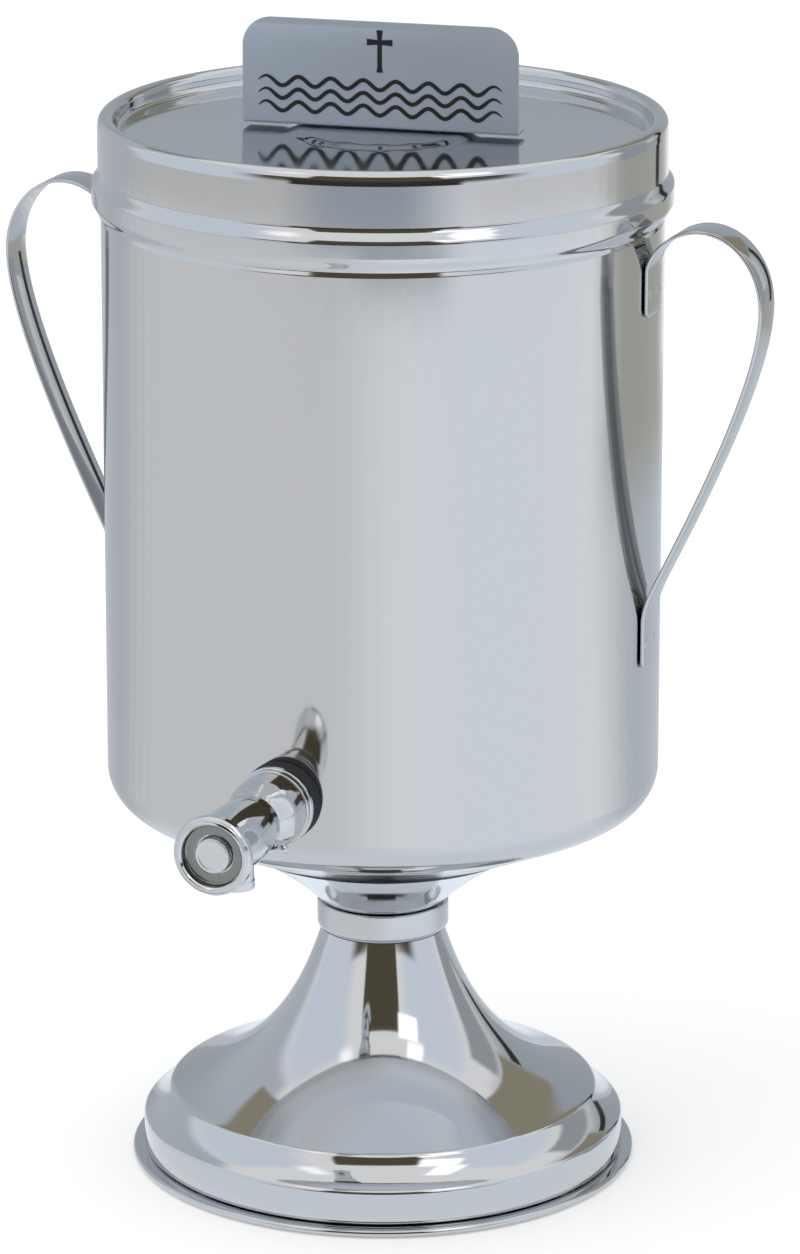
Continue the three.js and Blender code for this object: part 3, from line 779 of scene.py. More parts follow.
@dataclass(frozen=True)
class Finishes:
    """The urn's finishes, by the pieces that carry them."""

    polished: Finish = PolishedMetal()
    # painted light: the cup's steel is paler than the rest of the polished steel, standing in for light it
    # picks up under the tank
    cup: Finish = PolishedMetal("bright_cup_steel", (0.80, 0.81, 0.82))
    tank: Finish = PolishedMetal(
        name="bright_tank_steel",
        colour=(0.60, 0.60, 0.605),
        roughness=0.05,
        wipe_amount=0.12,
        wave_scale=16.0,
        wave_depth=0.035,
        lines=0.05,
        # painted light: the tank's underside, below its corner, gets a paler steel colour than its wall
        painted_light_colour=(0.74, 0.75, 0.76),
        painted_light_top=138,
    )
    chrome: Finish = PolishedMetal("chrome_plate", (0.64, 0.65, 0.665), 0.03, 0.05, 140.0, 0.03)
    button: Finish = PolishedMetal("button_metal", (0.64, 0.66, 0.69), 0.20, 0.15, 60.0, 0.01)
    # painted shade: the recess lining is satin, and its dark colour paints the shade in the bezel's recess
    bowl: Finish = PolishedMetal("satin_chrome", (0.26, 0.27, 0.255), 0.18, 0.15, 60.0, 0.01)
    sign: Finish = SatinSheet()
    enamel: Finish = BlackEnamel()
    rubber: Finish = BlackRubber()
    felt: Finish = GreenFelt()
    brass: Finish = MachinedMetal("turned_brass", (0.62, 0.45, 0.20), 0.25, Axis.ALONG_TAP)
    tap_steel: Finish = MachinedMetal("tap_steel", (0.52, 0.52, 0.53), 0.28, Axis.ALONG_TAP)
    tie_steel: Finish = MachinedMetal("plated_steel", (0.50, 0.50, 0.51), 0.32)


# Sub-assemblies


@dataclass
class SubAssembly:
    """A group of pieces that ride on one body, with the sizes that several groups share."""

    nodes: dict[str, bpy.types.Object]
    finishes: Finishes = field(default_factory=Finishes)
    body: str = "root"
    tank_radius: float = 101.5
    neck_inset: float = 0.5
    roll_radius: float = 1.8
    gap: float = 0.3
    button_radius: float = 6.35

    def piece(self, mesh: bpy.types.Mesh, finish: Finish, slot: str, *replaced: str) -> bpy.types.Object:
        """Adds a new piece to the scene.

        Args:
            mesh: Its mesh, in place; the piece takes the mesh's name.
            finish: Its finish.
            slot: The record's material slot; not used.
            *replaced: The nodes it stands for.

        Returns:
            The new object.
        """
        made = bpy.data.objects.new(mesh.name, mesh)
        bpy.context.scene.collection.objects.link(made)
        made.data.materials.clear()
        made.data.materials.append(finish.build())
        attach(made, self.body)
        if replaced:
            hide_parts(*replaced)
        LOG.info("%s: %d points on %s", made.name, len(mesh.vertices), self.body)
        return made

    def refinish(self, finish: Finish, *names: str) -> None:
        """Gives nodes that keep their shape a better material.

        Args:
            finish: The finish.
            *names: The nodes.
        """
        for name in names:
            materials = self.nodes[name].data.materials
            materials.clear()
            materials.append(finish.build())
            LOG.info("%s: refinished", name)

    @staticmethod
    def heights(node: str) -> tuple[float, float]:
        """The lowest and highest height of a node in millimetres."""
        low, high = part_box(node)
        return low[2] / MM, high[2] / MM

    def tap_height(self) -> float:
        """The height of the tap's axis in millimetres."""
        return sum(self.heights("faucet_bezel")) / 2

    def tap_place(self) -> Matrix:
        """The tap's own frame: its Z runs out from the tank's wall and its Y is up."""
        wall = (0, -self.tank_radius * MM, self.tap_height() * MM)
        return Matrix.Translation(wall) @ Matrix.Rotation(math.pi / 2, 4, "X")


@dataclass
class Pedestal(SubAssembly):
    """Felt, closing plate, trumpet base, collar and cup, and the rod that ties them."""

    gauge: float = 1.0
    felt_radius: float = 88.4
    felt_foot_round: float = 0.2
    rim_radius: float = 93.9
    well_radius: float = 16.0
    well_foot_radius: float = 22.0
    well_rise: float = 9.5
    plate_gauge: float = 1.6
    rod_hole: float = 4.3
    skirt_radius: float = 89.5
    skirt_height: float = 12.9
    skirt_curl: float = 1.6
    curl_ease: float = 0.8
    shoulder_ease: float = 2.2
    shoulder_rise: float = 10.5
    crease_radius: float = 79.3
    edge_reach: float = 1.3
    neck_radius: float = 22.8
    flare_top_shares: Point = (0.245, 0.753)
    flare_foot_shares: Point = (0.327, 0.119)
    shoulder_shares: Point = (0.33, 0.31)
    collar_radius: float = 24.35
    collar_chamfer: float = 1.4
    collar_rounds: Triple = (0.3, 1.2, 0.5)
    collar_foot_ease: float = 3.0
    collar_top_ease: float = 1.2
    cup_throat_radius: float = 24.0
    cup_floor_radius: float = 22.6
    cup_throat_rise: float = 0.9
    cup_mouth_radius: float = 54.0
    cup_rim: float = 2.1
    cup_flare_shares: Point = (0.417, 0.568)

    def build(self) -> None:
        """Builds and dresses every piece of the pedestal."""
        polished = self.finishes.polished
        self.piece(self.felt_disc(), self.finishes.felt, "base_felt", "base_felt")
        self.piece(self.closing_plate(), polished, "polished_steel", "base_plate")
        self.piece(self.trumpet(), polished, "polished_steel", "pedestal_base")
        self.piece(self.collar(), polished, "polished_steel", "neck_collar")
        self.piece(self.cup(), self.finishes.cup, "polished_steel", "pedestal_cup")
        ends = ("lower", "upper")
        hardware = [f"{end}_tie_{kind}" for end in ends for kind in ("washer", "nut")]
        self.refinish(self.finishes.tie_steel, "tie_rod", *hardware)

    def felt_disc(self) -> bpy.types.Mesh:
        """The felt disc, whose upper edge is worn round.

        Returns:
            The piece's mesh.
        """
        low, high = self.heights("base_felt")
        soft = (high - low) / 2
        radius = self.felt_radius
        edge = [(0, low, 0), (radius, low, self.felt_foot_round), (radius, high, soft), (0, high, 0)]
        return turned("base_felt_disc", rounded(edge))

    def closing_plate(self) -> bpy.types.Mesh:
        """The closing plate: a disc with a well for the nut and a rolled rim that shows as a bead.

        Returns:
            The piece's mesh.
        """
        low, high = self.heights("base_plate")
        under = self.heights("base_felt")[1] + low
        top = under + self.plate_gauge
        half = (top - low) / 2
        recess = self.felt_radius + low
        well = under + self.well_rise
        bead = arc((self.rim_radius - half, low + half), half, -90, 90, steps=14)
        outline = [
            (self.rod_hole, well),
            (self.well_radius, well),
            (self.well_foot_radius, under),
            (recess, under),
            (recess, low),
            *bead,
            (self.well_foot_radius + self.plate_gauge, top),
            (self.well_radius + self.plate_gauge, high),
            (self.rod_hole, high),
        ]
        return turned("closing_plate", outline)

    def trumpet(self) -> bpy.types.Mesh:
        """The skirt, the sloping shoulder and the long flare up to the neck.

        Returns:
            The piece's mesh.
        """
        foot, top = self.heights("pedestal_base")
        neck, crease, skirt_radius = self.neck_radius, self.crease_radius, self.skirt_radius
        shoulder = foot + self.skirt_height
        fold = shoulder + self.shoulder_rise
        rise, width, curl = top - fold, crease - neck, self.skirt_curl
        skirt = arc((skirt_radius - curl, foot + curl), curl, -70, 0, steps=6)
        out, up = self.shoulder_shares
        hollow = (crease + (skirt_radius - crease) * out, shoulder + self.shoulder_rise * up)
        slope = bezier([(skirt_radius, shoulder), hollow, (crease, fold)], steps=16)
        out, up = self.flare_foot_shares
        leaving = (crease - width * out, fold + rise * up)
        out, up = self.flare_top_shares
        arriving = (neck + width * out, top - rise * up)
        flare = bezier([(crease, fold), leaving, arriving, (neck, top)], steps=48)
        plain = (skirt[-1][1] + self.curl_ease, shoulder - self.shoulder_ease, shoulder)
        skirt += [(skirt_radius, z) for z in plain]
        outside = eased(eased(skirt, slope, self.edge_reach), flare, self.edge_reach)
        inside = shifted(outside, self.gauge)
        inside[-1] = (neck - self.gauge, top - self.gauge)
        hole = [(self.rod_hole, top), (self.rod_hole, top - self.gauge)]
        return turned("trumpet_base", outside + hole + inside[::-1])

    def collar(self) -> bpy.types.Mesh:
        """The plain ring at the neck.

        Returns:
            The piece's mesh.
        """
        low, high = self.heights("neck_collar")
        foot, shoulder, crown = self.collar_rounds
        corners = [
            (self.rod_hole, low, 0),
            (self.collar_radius - self.collar_chamfer, low, foot),
            (self.collar_radius, low + self.collar_chamfer, shoulder),
            (self.collar_radius, low + self.collar_foot_ease, 0),
            (self.collar_radius, high - self.collar_top_ease, 0),
            (self.collar_radius, high, crown),
            (self.rod_hole, high, 0),
        ]
        return turned("collar_ring", rounded(corners, steps=6))

    def cup(self) -> bpy.types.Mesh:
        """The dish that carries the tank.

        Returns:
            The piece's mesh.
        """
        low, high = self.heights("pedestal_cup")
        start, end = (self.cup_throat_radius, low + self.cup_throat_rise), (self.cup_mouth_radius, high)
        out, up = self.cup_flare_shares
        turn = (start[0] + (end[0] - start[0]) * out, start[1] + (end[1] - start[1]) * up)
        outside = [(self.cup_floor_radius, low), *bezier([start, turn, end], steps=28)]
        inside = shifted(outside, self.gauge)
        inside[0] = (self.cup_floor_radius - self.gauge, low + self.gauge)
        inside[-1] = (self.cup_mouth_radius - self.cup_rim, high)
        floor = [(self.rod_hole, low + self.gauge), (self.rod_hole, low)]
        return turned("cup_dish", outside + inside[::-1] + floor)


@dataclass
class Tank(SubAssembly):
    """The drum that holds the water."""

    gauge: float = 0.9
    corner_radius: float = 15.0
    floor_radius: float = 54.0
    dish_depth: float = 15.4
    neck_height: float = 34.8
    neck_slope: float = 1.0
    neck_ease: float = 0.5
    roll_degrees: float = 300.0
    tap_hole: float = 9.5
    wall_step: float = 6.0

    def build(self) -> None:
        """Builds the drum and cuts the tap's hole."""
        wall = turned("tank_drum", self.outline())
        half = self.tank_radius / 2
        pin = [(0, -half), (self.tap_hole, -half), (self.tap_hole, half), (0, half)]
        drill = turned("tap_drill", pin, Smoothness.SMALL, self.tap_place())
        self.piece(cut(wall, drill), self.finishes.tank, "brushed_tank", "tank")

    def outline(self) -> list[Point]:
        """The drum's section: dished floor, corner, wall, neck and rolled rim, and back inside.

        Returns:
            The section's points, as radius and height.
        """
        low, high = self.heights("tank")
        corner = (self.tank_radius - self.corner_radius, low + self.dish_depth + self.corner_radius)
        to_corner = Vector((corner[0] - self.floor_radius, corner[1] - low))
        slope = math.atan2(to_corner.y, to_corner.x) - math.asin(self.corner_radius / to_corner.length)
        end = math.degrees(slope) - 90
        neck = self.tank_radius - self.neck_inset
        roll = (neck - self.roll_radius, high - self.roll_radius)
        neck_foot = high - self.neck_height
        wall_top = neck_foot - self.neck_slope
        steps = round((wall_top - corner[1]) / self.wall_step)
        climb = [corner[1] + (wall_top - corner[1]) * i / steps for i in range(1, steps)]
        inner = self.tank_radius - self.gauge
        return [
            (0, low),
            (self.floor_radius, low),
            *arc(corner, self.corner_radius, end, 0, steps=20),
            *[(self.tank_radius, z) for z in climb],
            (self.tank_radius, wall_top - self.neck_ease),
            (self.tank_radius, wall_top),
            (neck, neck_foot),
            (neck, neck_foot + self.neck_ease),
            *arc(roll, self.roll_radius, 0, self.roll_degrees, steps=20),
            (neck - self.gauge, neck_foot),
            (inner, wall_top),
            *[(inner, z) for z in reversed(climb)],
            *arc(corner, self.corner_radius - self.gauge, 0, end, steps=14),
            (self.floor_radius - self.gauge * math.tan(slope / 2), low + self.gauge),
            (0, low + self.gauge),
        ]


@dataclass
class StrapHandles(SubAssembly):
    """The two bent straps, with their spot welds."""

    gauge: float = 1.2
    width: float = 16.0
    edge_round: float = 0.35
    pad_length: float = 17.4
    pad_corner: float = 3.0
    pad_steps: int = 12
    top_reach: float = 19.5
    pad_drop: float = 15.4
    outer_reach: float = 42.1
    outer_drop: float = 27.4
    bend_reach: float = 4.7
    bend_drop: float = 102.5
    rise_shares: Point = (0.39, 0.55)
    crown_shares: Point = (0.53, 0.58)
    fall_shares: Triple = (0.215, 0.53, 0.395)
    weld_radius: float = 1.9
    weld_height: float = 0.16
    weld_spread: float = 4.2
    weld_sink: float = 0.02
    weld_round: float = 0.3
    weld_rim_share: float = 0.8
    weld_middle_share: float = 0.7

    def build(self) -> None:
        """Builds both straps and their welds."""
        for side, name in ((1, "right"), (-1, "left")):
            turn = Matrix.Rotation(0 if side > 0 else math.pi, 4, "Z")
            strap = self.strap(f"strap_handle_{name}")
            strap.transform(turn)
            self.piece(strap, self.finishes.polished, "polished_steel", f"handle_{name}")
            for pad, height in zip(("upper", "lower"), self.pad_heights()):
                for place in (-1, 1):
                    self.weld(f"weld_{name}_{pad}_{'a' if place < 0 else 'b'}", height, place, turn)

    def pad_heights(self) -> tuple[float, float]:
        """The middle heights of the upper and the lower pad.

        Returns:
            The two heights in millimetres.
        """
        low, high = self.heights("handle_right")
        pad_top = high - self.gauge / 2 - self.pad_drop
        return pad_top - self.pad_length / 2, low + self.pad_length / 2

    def line(self) -> list[Point]:
        """The strap's middle line from the upper pad's foot to the lower pad's, as radius and height.

        Returns:
            The line's points.
        """
        wall = self.tank_radius + self.gap + self.gauge / 2
        top, outer, bend = (wall + reach for reach in (self.top_reach, self.outer_reach, self.bend_reach))
        top_height = self.heights("handle_right")[1] - self.gauge / 2
        outer_height = top_height - self.outer_drop
        bend_height = outer_height - self.bend_drop
        upper_pad_top, lower_pad_top = (middle + self.pad_length / 2 for middle in self.pad_heights())
        rise = top_height - upper_pad_top
        crown = top_height - outer_height
        fall = outer_height - bend_height
        fall_control = (bend + (outer - bend) * self.fall_shares[1], bend_height + fall * self.fall_shares[2])
        slope = (fall_control[0] - bend) / (fall_control[1] - bend_height)
        bend_corner = bend_height - self.bend_reach / slope
        rising = [
            (wall, upper_pad_top),
            (wall, upper_pad_top + rise * self.rise_shares[0]),
            (top - self.top_reach * self.rise_shares[1], top_height),
            (top, top_height),
        ]
        crowning = [
            (top, top_height),
            (top + (outer - top) * self.crown_shares[0], top_height),
            (outer, outer_height + crown * self.crown_shares[1]),
            (outer, outer_height),
        ]
        falling = [
            (outer, outer_height),
            (outer, outer_height - fall * self.fall_shares[0]),
            fall_control,
            (bend, bend_height),
        ]
        landing = [(bend, bend_height), (wall, bend_corner), (wall, min(lower_pad_top, bend_corner))]
        shares = [(i / self.pad_steps) ** 2 for i in range(self.pad_steps + 1)]
        upper_pad = [(wall, upper_pad_top - self.pad_length * (1 - share)) for share in shares[:-1]]
        lower_pad = [(wall, lower_pad_top - self.pad_length * (1 - share)) for share in shares[-2::-1]]
        curve = bezier(rising, steps=24)
        for controls, steps in ((crowning, 28), (falling, 40), (landing, 14)):
            curve += bezier(controls, steps)[1:]
        return upper_pad + curve + lower_pad

    def strap(self, name: str) -> bpy.types.Mesh:
        """One strap, swept along its line; its ends have rounded corners.

        Args:
            name: The strap's name.

        Returns:
            The piece's mesh.
        """
        line = self.line()
        first, last = line[0][1], line[-1][1]
        sections = []
        for i, (radius, height) in enumerate(line):
            back, ahead = line[max(i - 1, 0)], line[min(i + 1, len(line) - 1)]
            along = (Vector(ahead) - Vector(back)).normalized()
            across = Vector((along.y, 0, -along.x))
            centre = Vector((radius, 0, height))
            near_end = abs(height - (first if i < len(line) / 2 else last))
            half = self.width / 2
            if near_end < self.pad_corner:
                drop = self.pad_corner - near_end
                half -= self.pad_corner - math.sqrt(self.pad_corner**2 - drop**2)
            size = (half, self.gauge / 2)
            sections.append(strip_section(centre, Vector((0, 1, 0)), across, size, self.edge_round))
        return swept(name, sections)

    def weld(self, name: str, height: float, place: int, turn: Matrix) -> None:
        """Adds one shallow spot-weld mark.

        Args:
            name: The mark's name.
            height: The height of the pad's middle.
            place: Which side of the middle it lies on, -1 or 1.
            turn: The turn that brings it to its handle.
        """
        face = self.tank_radius + self.gap + self.gauge - self.weld_sink
        corners = [
            (0, 0, 0),
            (self.weld_radius, 0, 0),
            (self.weld_radius * self.weld_rim_share, self.weld_height, self.weld_round),
            (0, self.weld_height * self.weld_middle_share, 0),
        ]
        dome = rounded(corners, steps=3)
        at = Vector((face, place * self.weld_spread, height)) * MM
        out = Matrix.Translation(at) @ Matrix.Rotation(math.pi / 2, 4, "Y")
        mark = turned(name, dome, Smoothness.SMALL, turn @ out)
        self.piece(mark, self.finishes.polished, "polished_steel")


@dataclass
class Tap(SubAssembly):
    """The tap's body, spout, bezel and seals. Places are distances out from the tank's wall."""

    shank_radius: float = 9.2
    shank_reach: float = 15.0
    inlet_bore: float = 6.6
    seat_bore: float = 4.2
    seat_start: float = 8.0
    seat_length: float = 5.0
    chamber_bore: float = 7.0
    chamber_end: float = 49.0
    gland_bore: float = 8.2
    flange_start: float = 6.3
    flange_radius: float = 14.3
    flange_thickness: float = 2.2
    flange_rounds: Point = (0.3, 0.7)
    groove_width: float = 0.6
    groove_depth: float = 0.8
    groove_round: float = 0.15
    step_radius: float = 13.9
    step_thickness: float = 2.0
    bell_radius: float = 13.6
    bell_end: float = 29.5
    bell_chamfer: Point = (0.25, 0.3)
    waist_radius: float = 10.4
    barrel_radius: float = 11.8
    barrel_end: float = 57.7
    barrel_lip_radius: float = 10.8
    bell_shares: tuple[Point, ...] = ((0, 1), (0.25, 0.97), (0.5, 0.82), (0.75, 0.44), (0.92, 0.1), (1, 0))
    barrel_shares: tuple[Point, ...] = ((0, 0), (0.08, 0.2), (0.22, 0.65), (0.4, 0.92), (0.6, 1), (0.8, 0.75))
    nub_radius: float = 1.7
    nub_place: float = 20.7
    nub_degrees: float = 38.0
    spout_place: float = 44.5
    spout_radius: float = 6.3
    spout_bore: float = 4.2
    spout_drop: float = 18.2
    spout_lip_radius: float = 6.6
    spout_lip_height: float = 3.0
    spout_lip_slope: float = 0.4
    spout_mouth_depth: float = 0.5
    spout_mouth_rounds: Point = (0.25, 0.5)
    spout_round: float = 0.3
    spout_seat: float = 8.2
    bezel_radius: float = 14.25
    bezel_front: float = 68.0
    bezel_rim: float = 4.4
    bezel_rim_slope: Point = (0.35, 0.3)
    bezel_rim_rounds: Triple = (0.5, 0.4, 0.9)
    bezel_lip_steps: tuple[Triple, ...] = ((0.75, 0.55, 0.3), (1.05, 0.65, 0.12), (1.35, 0.2, 0.3))
    bezel_lip_drop: float = 1.5
    bezel_mouth: float = 11.1
    bezel_mouth_chamfer: float = 0.7
    bezel_mouth_rounds: Point = (0.5, 0.4)
    bezel_cup: float = 3.6
    bezel_floor_radius: float = 7.2
    bezel_floor_step: float = 1.0
    bezel_floor_rounds: Triple = (1.2, 0.25, 0.1)
    bezel_back_radius: float = 11.6
    bezel_back_slope: float = 1.2
    bezel_back_rounds: Triple = (0.2, 0.3, 0.8)
    bezel_spigot_start: float = 53.3
    bowl_gauge: float = 0.12
    bowl_depth: float = 1.0
    bowl_sink: float = 0.05
    bowl_inset: float = 0.2
    gasket_radius: float = 14.4
    gasket_round: float = 0.8

    def build(self) -> None:
        """Builds and dresses every fixed piece of the tap."""
        chrome = self.finishes.chrome
        self.piece(self.body_mesh(), chrome, "chrome", "faucet_body")
        self.piece(self.spout(), chrome, "chrome", "faucet_spout")
        self.piece(self.bezel(), chrome, "chrome", "faucet_bezel")
        self.piece(self.bowl(), self.finishes.bowl, "chrome")
        self.piece(self.gasket(), self.finishes.rubber, "black_rubber", "outer_gasket")
        self.refinish(self.finishes.rubber, "inner_gasket", "stem_seal")
        self.refinish(self.finishes.brass, "shank_nut", "packing_gland")
        self.refinish(self.finishes.tap_steel, "shank_washer", "spring_seat")

    def down(self) -> Matrix:
        """The spout's frame: its Z runs up, from the tap's axis."""
        out = Matrix.Translation((0, 0, self.spout_place * MM))
        return self.tap_place() @ out @ Matrix.Rotation(-math.pi / 2, 4, "X")

    def body_mesh(self) -> bpy.types.Mesh:
        """Shank, flange, grooves, bell, waist and barrel, hollow, with the spout's socket.

        Returns:
            The piece's mesh.
        """
        step = self.flange_start + self.flange_thickness + self.groove_width
        step_end = step + self.step_thickness
        bell = step_end + self.groove_width
        groove = self.bell_radius - self.groove_depth
        swell = self.swelling(self.bell_shares, self.bell_radius, bell, self.bell_end)
        barrel = self.swelling(self.barrel_shares, self.barrel_radius, self.bell_end, self.barrel_end)
        bell_edge = (self.bell_radius, bell + self.bell_chamfer[1])
        lip = (self.barrel_lip_radius, self.barrel_end)
        chamber_start = self.seat_start + self.seat_length
        back, front, fine = *self.flange_rounds, self.groove_round
        outline = [
            (self.inlet_bore, -self.shank_reach),
            (self.shank_radius, -self.shank_reach),
            *rounded(
                [
                    (self.shank_radius, self.flange_start, 0),
                    (self.flange_radius, self.flange_start, back),
                    (self.flange_radius, step - self.groove_width, front),
                    (groove, step - self.groove_width, fine),
                    (groove, step, fine),
                    (self.step_radius, step, back),
                    (self.step_radius, step_end, front),
                    (groove, step_end, fine),
                    (groove, bell, fine),
                    (self.bell_radius - self.bell_chamfer[0], bell, 0),
                ],
                steps=5,
            ),
            *through([bell_edge, *swell[1:], *barrel[1:], lip], steps=10),
            (self.gland_bore, self.barrel_end),
            (self.gland_bore, self.chamber_end),
            (self.chamber_bore, self.chamber_end),
            (self.chamber_bore, chamber_start),
            (self.seat_bore, chamber_start),
            (self.seat_bore, self.seat_start),
            (self.inlet_bore, self.seat_start),
        ]
        body = turned("tap_body", outline, Smoothness.MEDIUM, self.tap_place())
        top = -self.spout_seat
        socket = self.pin("socket_drill", self.spout_radius + self.gap, top, -self.spout_drop)
        water_way = self.pin("outlet_drill", self.spout_bore, 0, -self.spout_drop)
        return cut(cut(cut(body, self.nub(), join=True), socket), water_way)

    def swelling(self, shares: Sequence[Point], radius: float, start: float, end: float) -> list[Point]:
        """A line that swells out from the waist to a radius, by shares of the way along and out."""
        swell, length = radius - self.waist_radius, end - start
        return [(self.waist_radius + swell * out, start + length * along) for along, out in shares]

    def pin(self, name: str, radius: float, top: float, foot: float) -> bpy.types.Mesh:
        """A plain upright pin at the spout, for cutting."""
        outline = [(0, foot), (radius, foot), (radius, top), (0, top)]
        return turned(name, outline, Smoothness.SMALL, self.down())

    def nub(self) -> bpy.types.Mesh:
        """The small round nub under the bell.

        Returns:
            The piece's mesh.
        """
        ball = [(0, -self.nub_radius), *arc((0, 0), self.nub_radius, -80, 80, steps=14), (0, self.nub_radius)]
        angle = math.radians(self.nub_degrees)
        at = Vector((math.sin(angle), -math.cos(angle), 0)) * self.bell_radius
        at.z = self.nub_place
        return turned("nub", ball, Smoothness.SMALL, self.tap_place() @ Matrix.Translation(at * MM))

    def spout(self) -> bpy.types.Mesh:
        """The spout's tube, with its thicker lip.

        Returns:
            The piece's mesh.
        """
        foot = -self.spout_drop
        seat = -self.spout_seat - self.gap
        lip_top = foot + self.spout_lip_height
        inner, outer = self.spout_mouth_rounds
        corners = [
            (self.spout_bore, foot + self.spout_mouth_depth, 0),
            (self.spout_bore, foot, inner),
            (self.spout_lip_radius, foot, outer),
            (self.spout_lip_radius, lip_top, self.spout_round),
            (self.spout_radius, lip_top + self.spout_lip_slope, self.spout_round),
            (self.spout_radius, seat, self.spout_round),
            (self.spout_bore, seat, 0),
        ]
        return turned("spout_tube", rounded(corners, steps=5), Smoothness.SMALL, self.down())

    def bezel(self) -> bpy.types.Mesh:
        """The ring round the button: a flared rim, a recess and a spigot into the barrel.

        Returns:
            The piece's mesh.
        """
        spigot = self.gland_bore - self.gap
        back = self.barrel_end + self.gap
        floor = self.bezel_front - self.bezel_cup
        bore = self.button_radius + self.gap
        rim_start = self.bezel_front - self.bezel_rim
        inset, slope = self.bezel_rim_slope
        edge, front = self.bezel_radius, self.bezel_front
        lip = [(edge - inward, front - drop, rnd) for inward, drop, rnd in self.bezel_lip_steps]
        behind, rim = self.bezel_back_rounds, self.bezel_rim_rounds
        mouth, deep = self.bezel_mouth_rounds, self.bezel_floor_rounds
        corners = [
            (bore, self.bezel_spigot_start, 0),
            (spigot, self.bezel_spigot_start, behind[0]),
            (spigot, back, 0),
            (self.barrel_lip_radius, back, behind[1]),
            (self.bezel_back_radius, back + self.bezel_back_slope, behind[2]),
            (edge - inset, rim_start - slope, rim[0]),
            (edge, rim_start + slope, rim[1]),
            (edge, front - self.bezel_lip_drop, rim[2]),
            *lip,
            (self.bezel_mouth + self.bezel_mouth_chamfer, front, mouth[0]),
            (self.bezel_mouth, front - self.bezel_mouth_chamfer, mouth[1]),
            (self.bezel_mouth, floor, deep[0]),
            (self.bezel_floor_radius, floor, deep[1]),
            (self.bezel_floor_radius, floor - self.bezel_floor_step, deep[2]),
            (bore, floor - self.bezel_floor_step, 0),
        ]
        return turned("bezel_ring", rounded(corners, steps=6), Smoothness.MEDIUM, self.tap_place())

    def bowl(self) -> bpy.types.Mesh:
        """The satin lining of the bezel's recess, whose dark colour is painted shade in the recess.

        Returns:
            The piece's mesh.
        """
        floor = self.bezel_front - self.bezel_cup
        mouth, thin, sink = self.bezel_mouth, self.bowl_gauge, self.bowl_sink
        top = self.bezel_front - self.bowl_depth
        middle = self.bezel_floor_radius + self.bowl_inset
        corners = [
            (mouth + sink, top, 0),
            (mouth - thin, top, 0),
            (mouth - thin, floor + thin, self.bezel_floor_rounds[0]),
            (middle, floor + thin, 0),
            (middle, floor - sink, 0),
            (mouth + sink, floor - sink, 0),
        ]
        return turned("bezel_bowl", rounded(corners, steps=6), Smoothness.MEDIUM, self.tap_place())

    def gasket(self) -> bpy.types.Mesh:
        """The rubber ring between flange and tank, whose back follows the tank's wall.

        Returns:
            The piece's mesh.
        """
        front = self.flange_start - self.gap
        wall = self.tank_radius + self.gap
        inner, outer = self.shank_radius + self.gap, self.gasket_radius
        count = Smoothness.SMALL.value
        places = []
        corners = [(inner, front, 0), (outer, front, self.gasket_round), (outer, front / 2, 0)]
        across = rounded(corners, steps=5)
        for i in range(count):
            angle = FULL_TURN * i / count
            side = math.cos(angle)
            for radius, out in across:
                places.append(Vector((radius * side, radius * math.sin(angle), out)))
            for radius in (outer, inner):
                fall = math.sqrt(wall**2 - (radius * side) ** 2) - self.tank_radius
                places.append(Vector((radius * side, radius * math.sin(angle), fall)))
        ring = len(across) + 2
        faces = []
        for i in range(count):
            here, ahead = i * ring, (i + 1) % count * ring
            for k in range(ring):
                m = (k + 1) % ring
                faces.append([here + k, ahead + k, ahead + m, here + m])
        return mesh_from("gasket_ring", [self.tap_place() @ (p * MM) for p in places], faces)


@dataclass
class ReturnSpring(SubAssembly):
    """The coil between the gland and the button, which shortens as the button goes in."""

    mean_radius: float = 4.1
    wire: float = 0.4
    turns: int = 6
    steps_per_turn: int = 20
    sides: int = 8
    travel: float = 4.5

    def build(self) -> None:
        """Builds the coil and gives it a mesh of its own."""
        front, back = (corner[1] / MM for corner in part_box("return_spring"))
        coil = self.coil(front + self.wire, back - self.wire)
        made = self.piece(coil, self.finishes.tap_steel, "fastener_steel", "return_spring")
        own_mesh(made)

    def coil(self, front: float, back: float) -> bpy.types.Mesh:
        """The round wire, wound from the gland to the button.

        Args:
            front: The wire's middle at the button's end, along Y in millimetres.
            back: The wire's middle at the gland's end.

        Returns:
            The coil's mesh.
        """
        steps = self.turns * self.steps_per_turn
        sections = []
        for i in range(steps + 1):
            angle = FULL_TURN * i / self.steps_per_turn
            outward = Vector((math.cos(angle), 0, math.sin(angle)))
            middle = outward * self.mean_radius
            middle += Vector((0, back + (front - back) * i / steps, self.tap_height()))
            section = []
            for j in range(self.sides):
                around = FULL_TURN * j / self.sides
                along = Vector((0, self.wire * math.sin(around), 0))
                section.append(middle + outward * self.wire * math.cos(around) + along)
            sections.append(section)
        return swept("return_coil", sections)


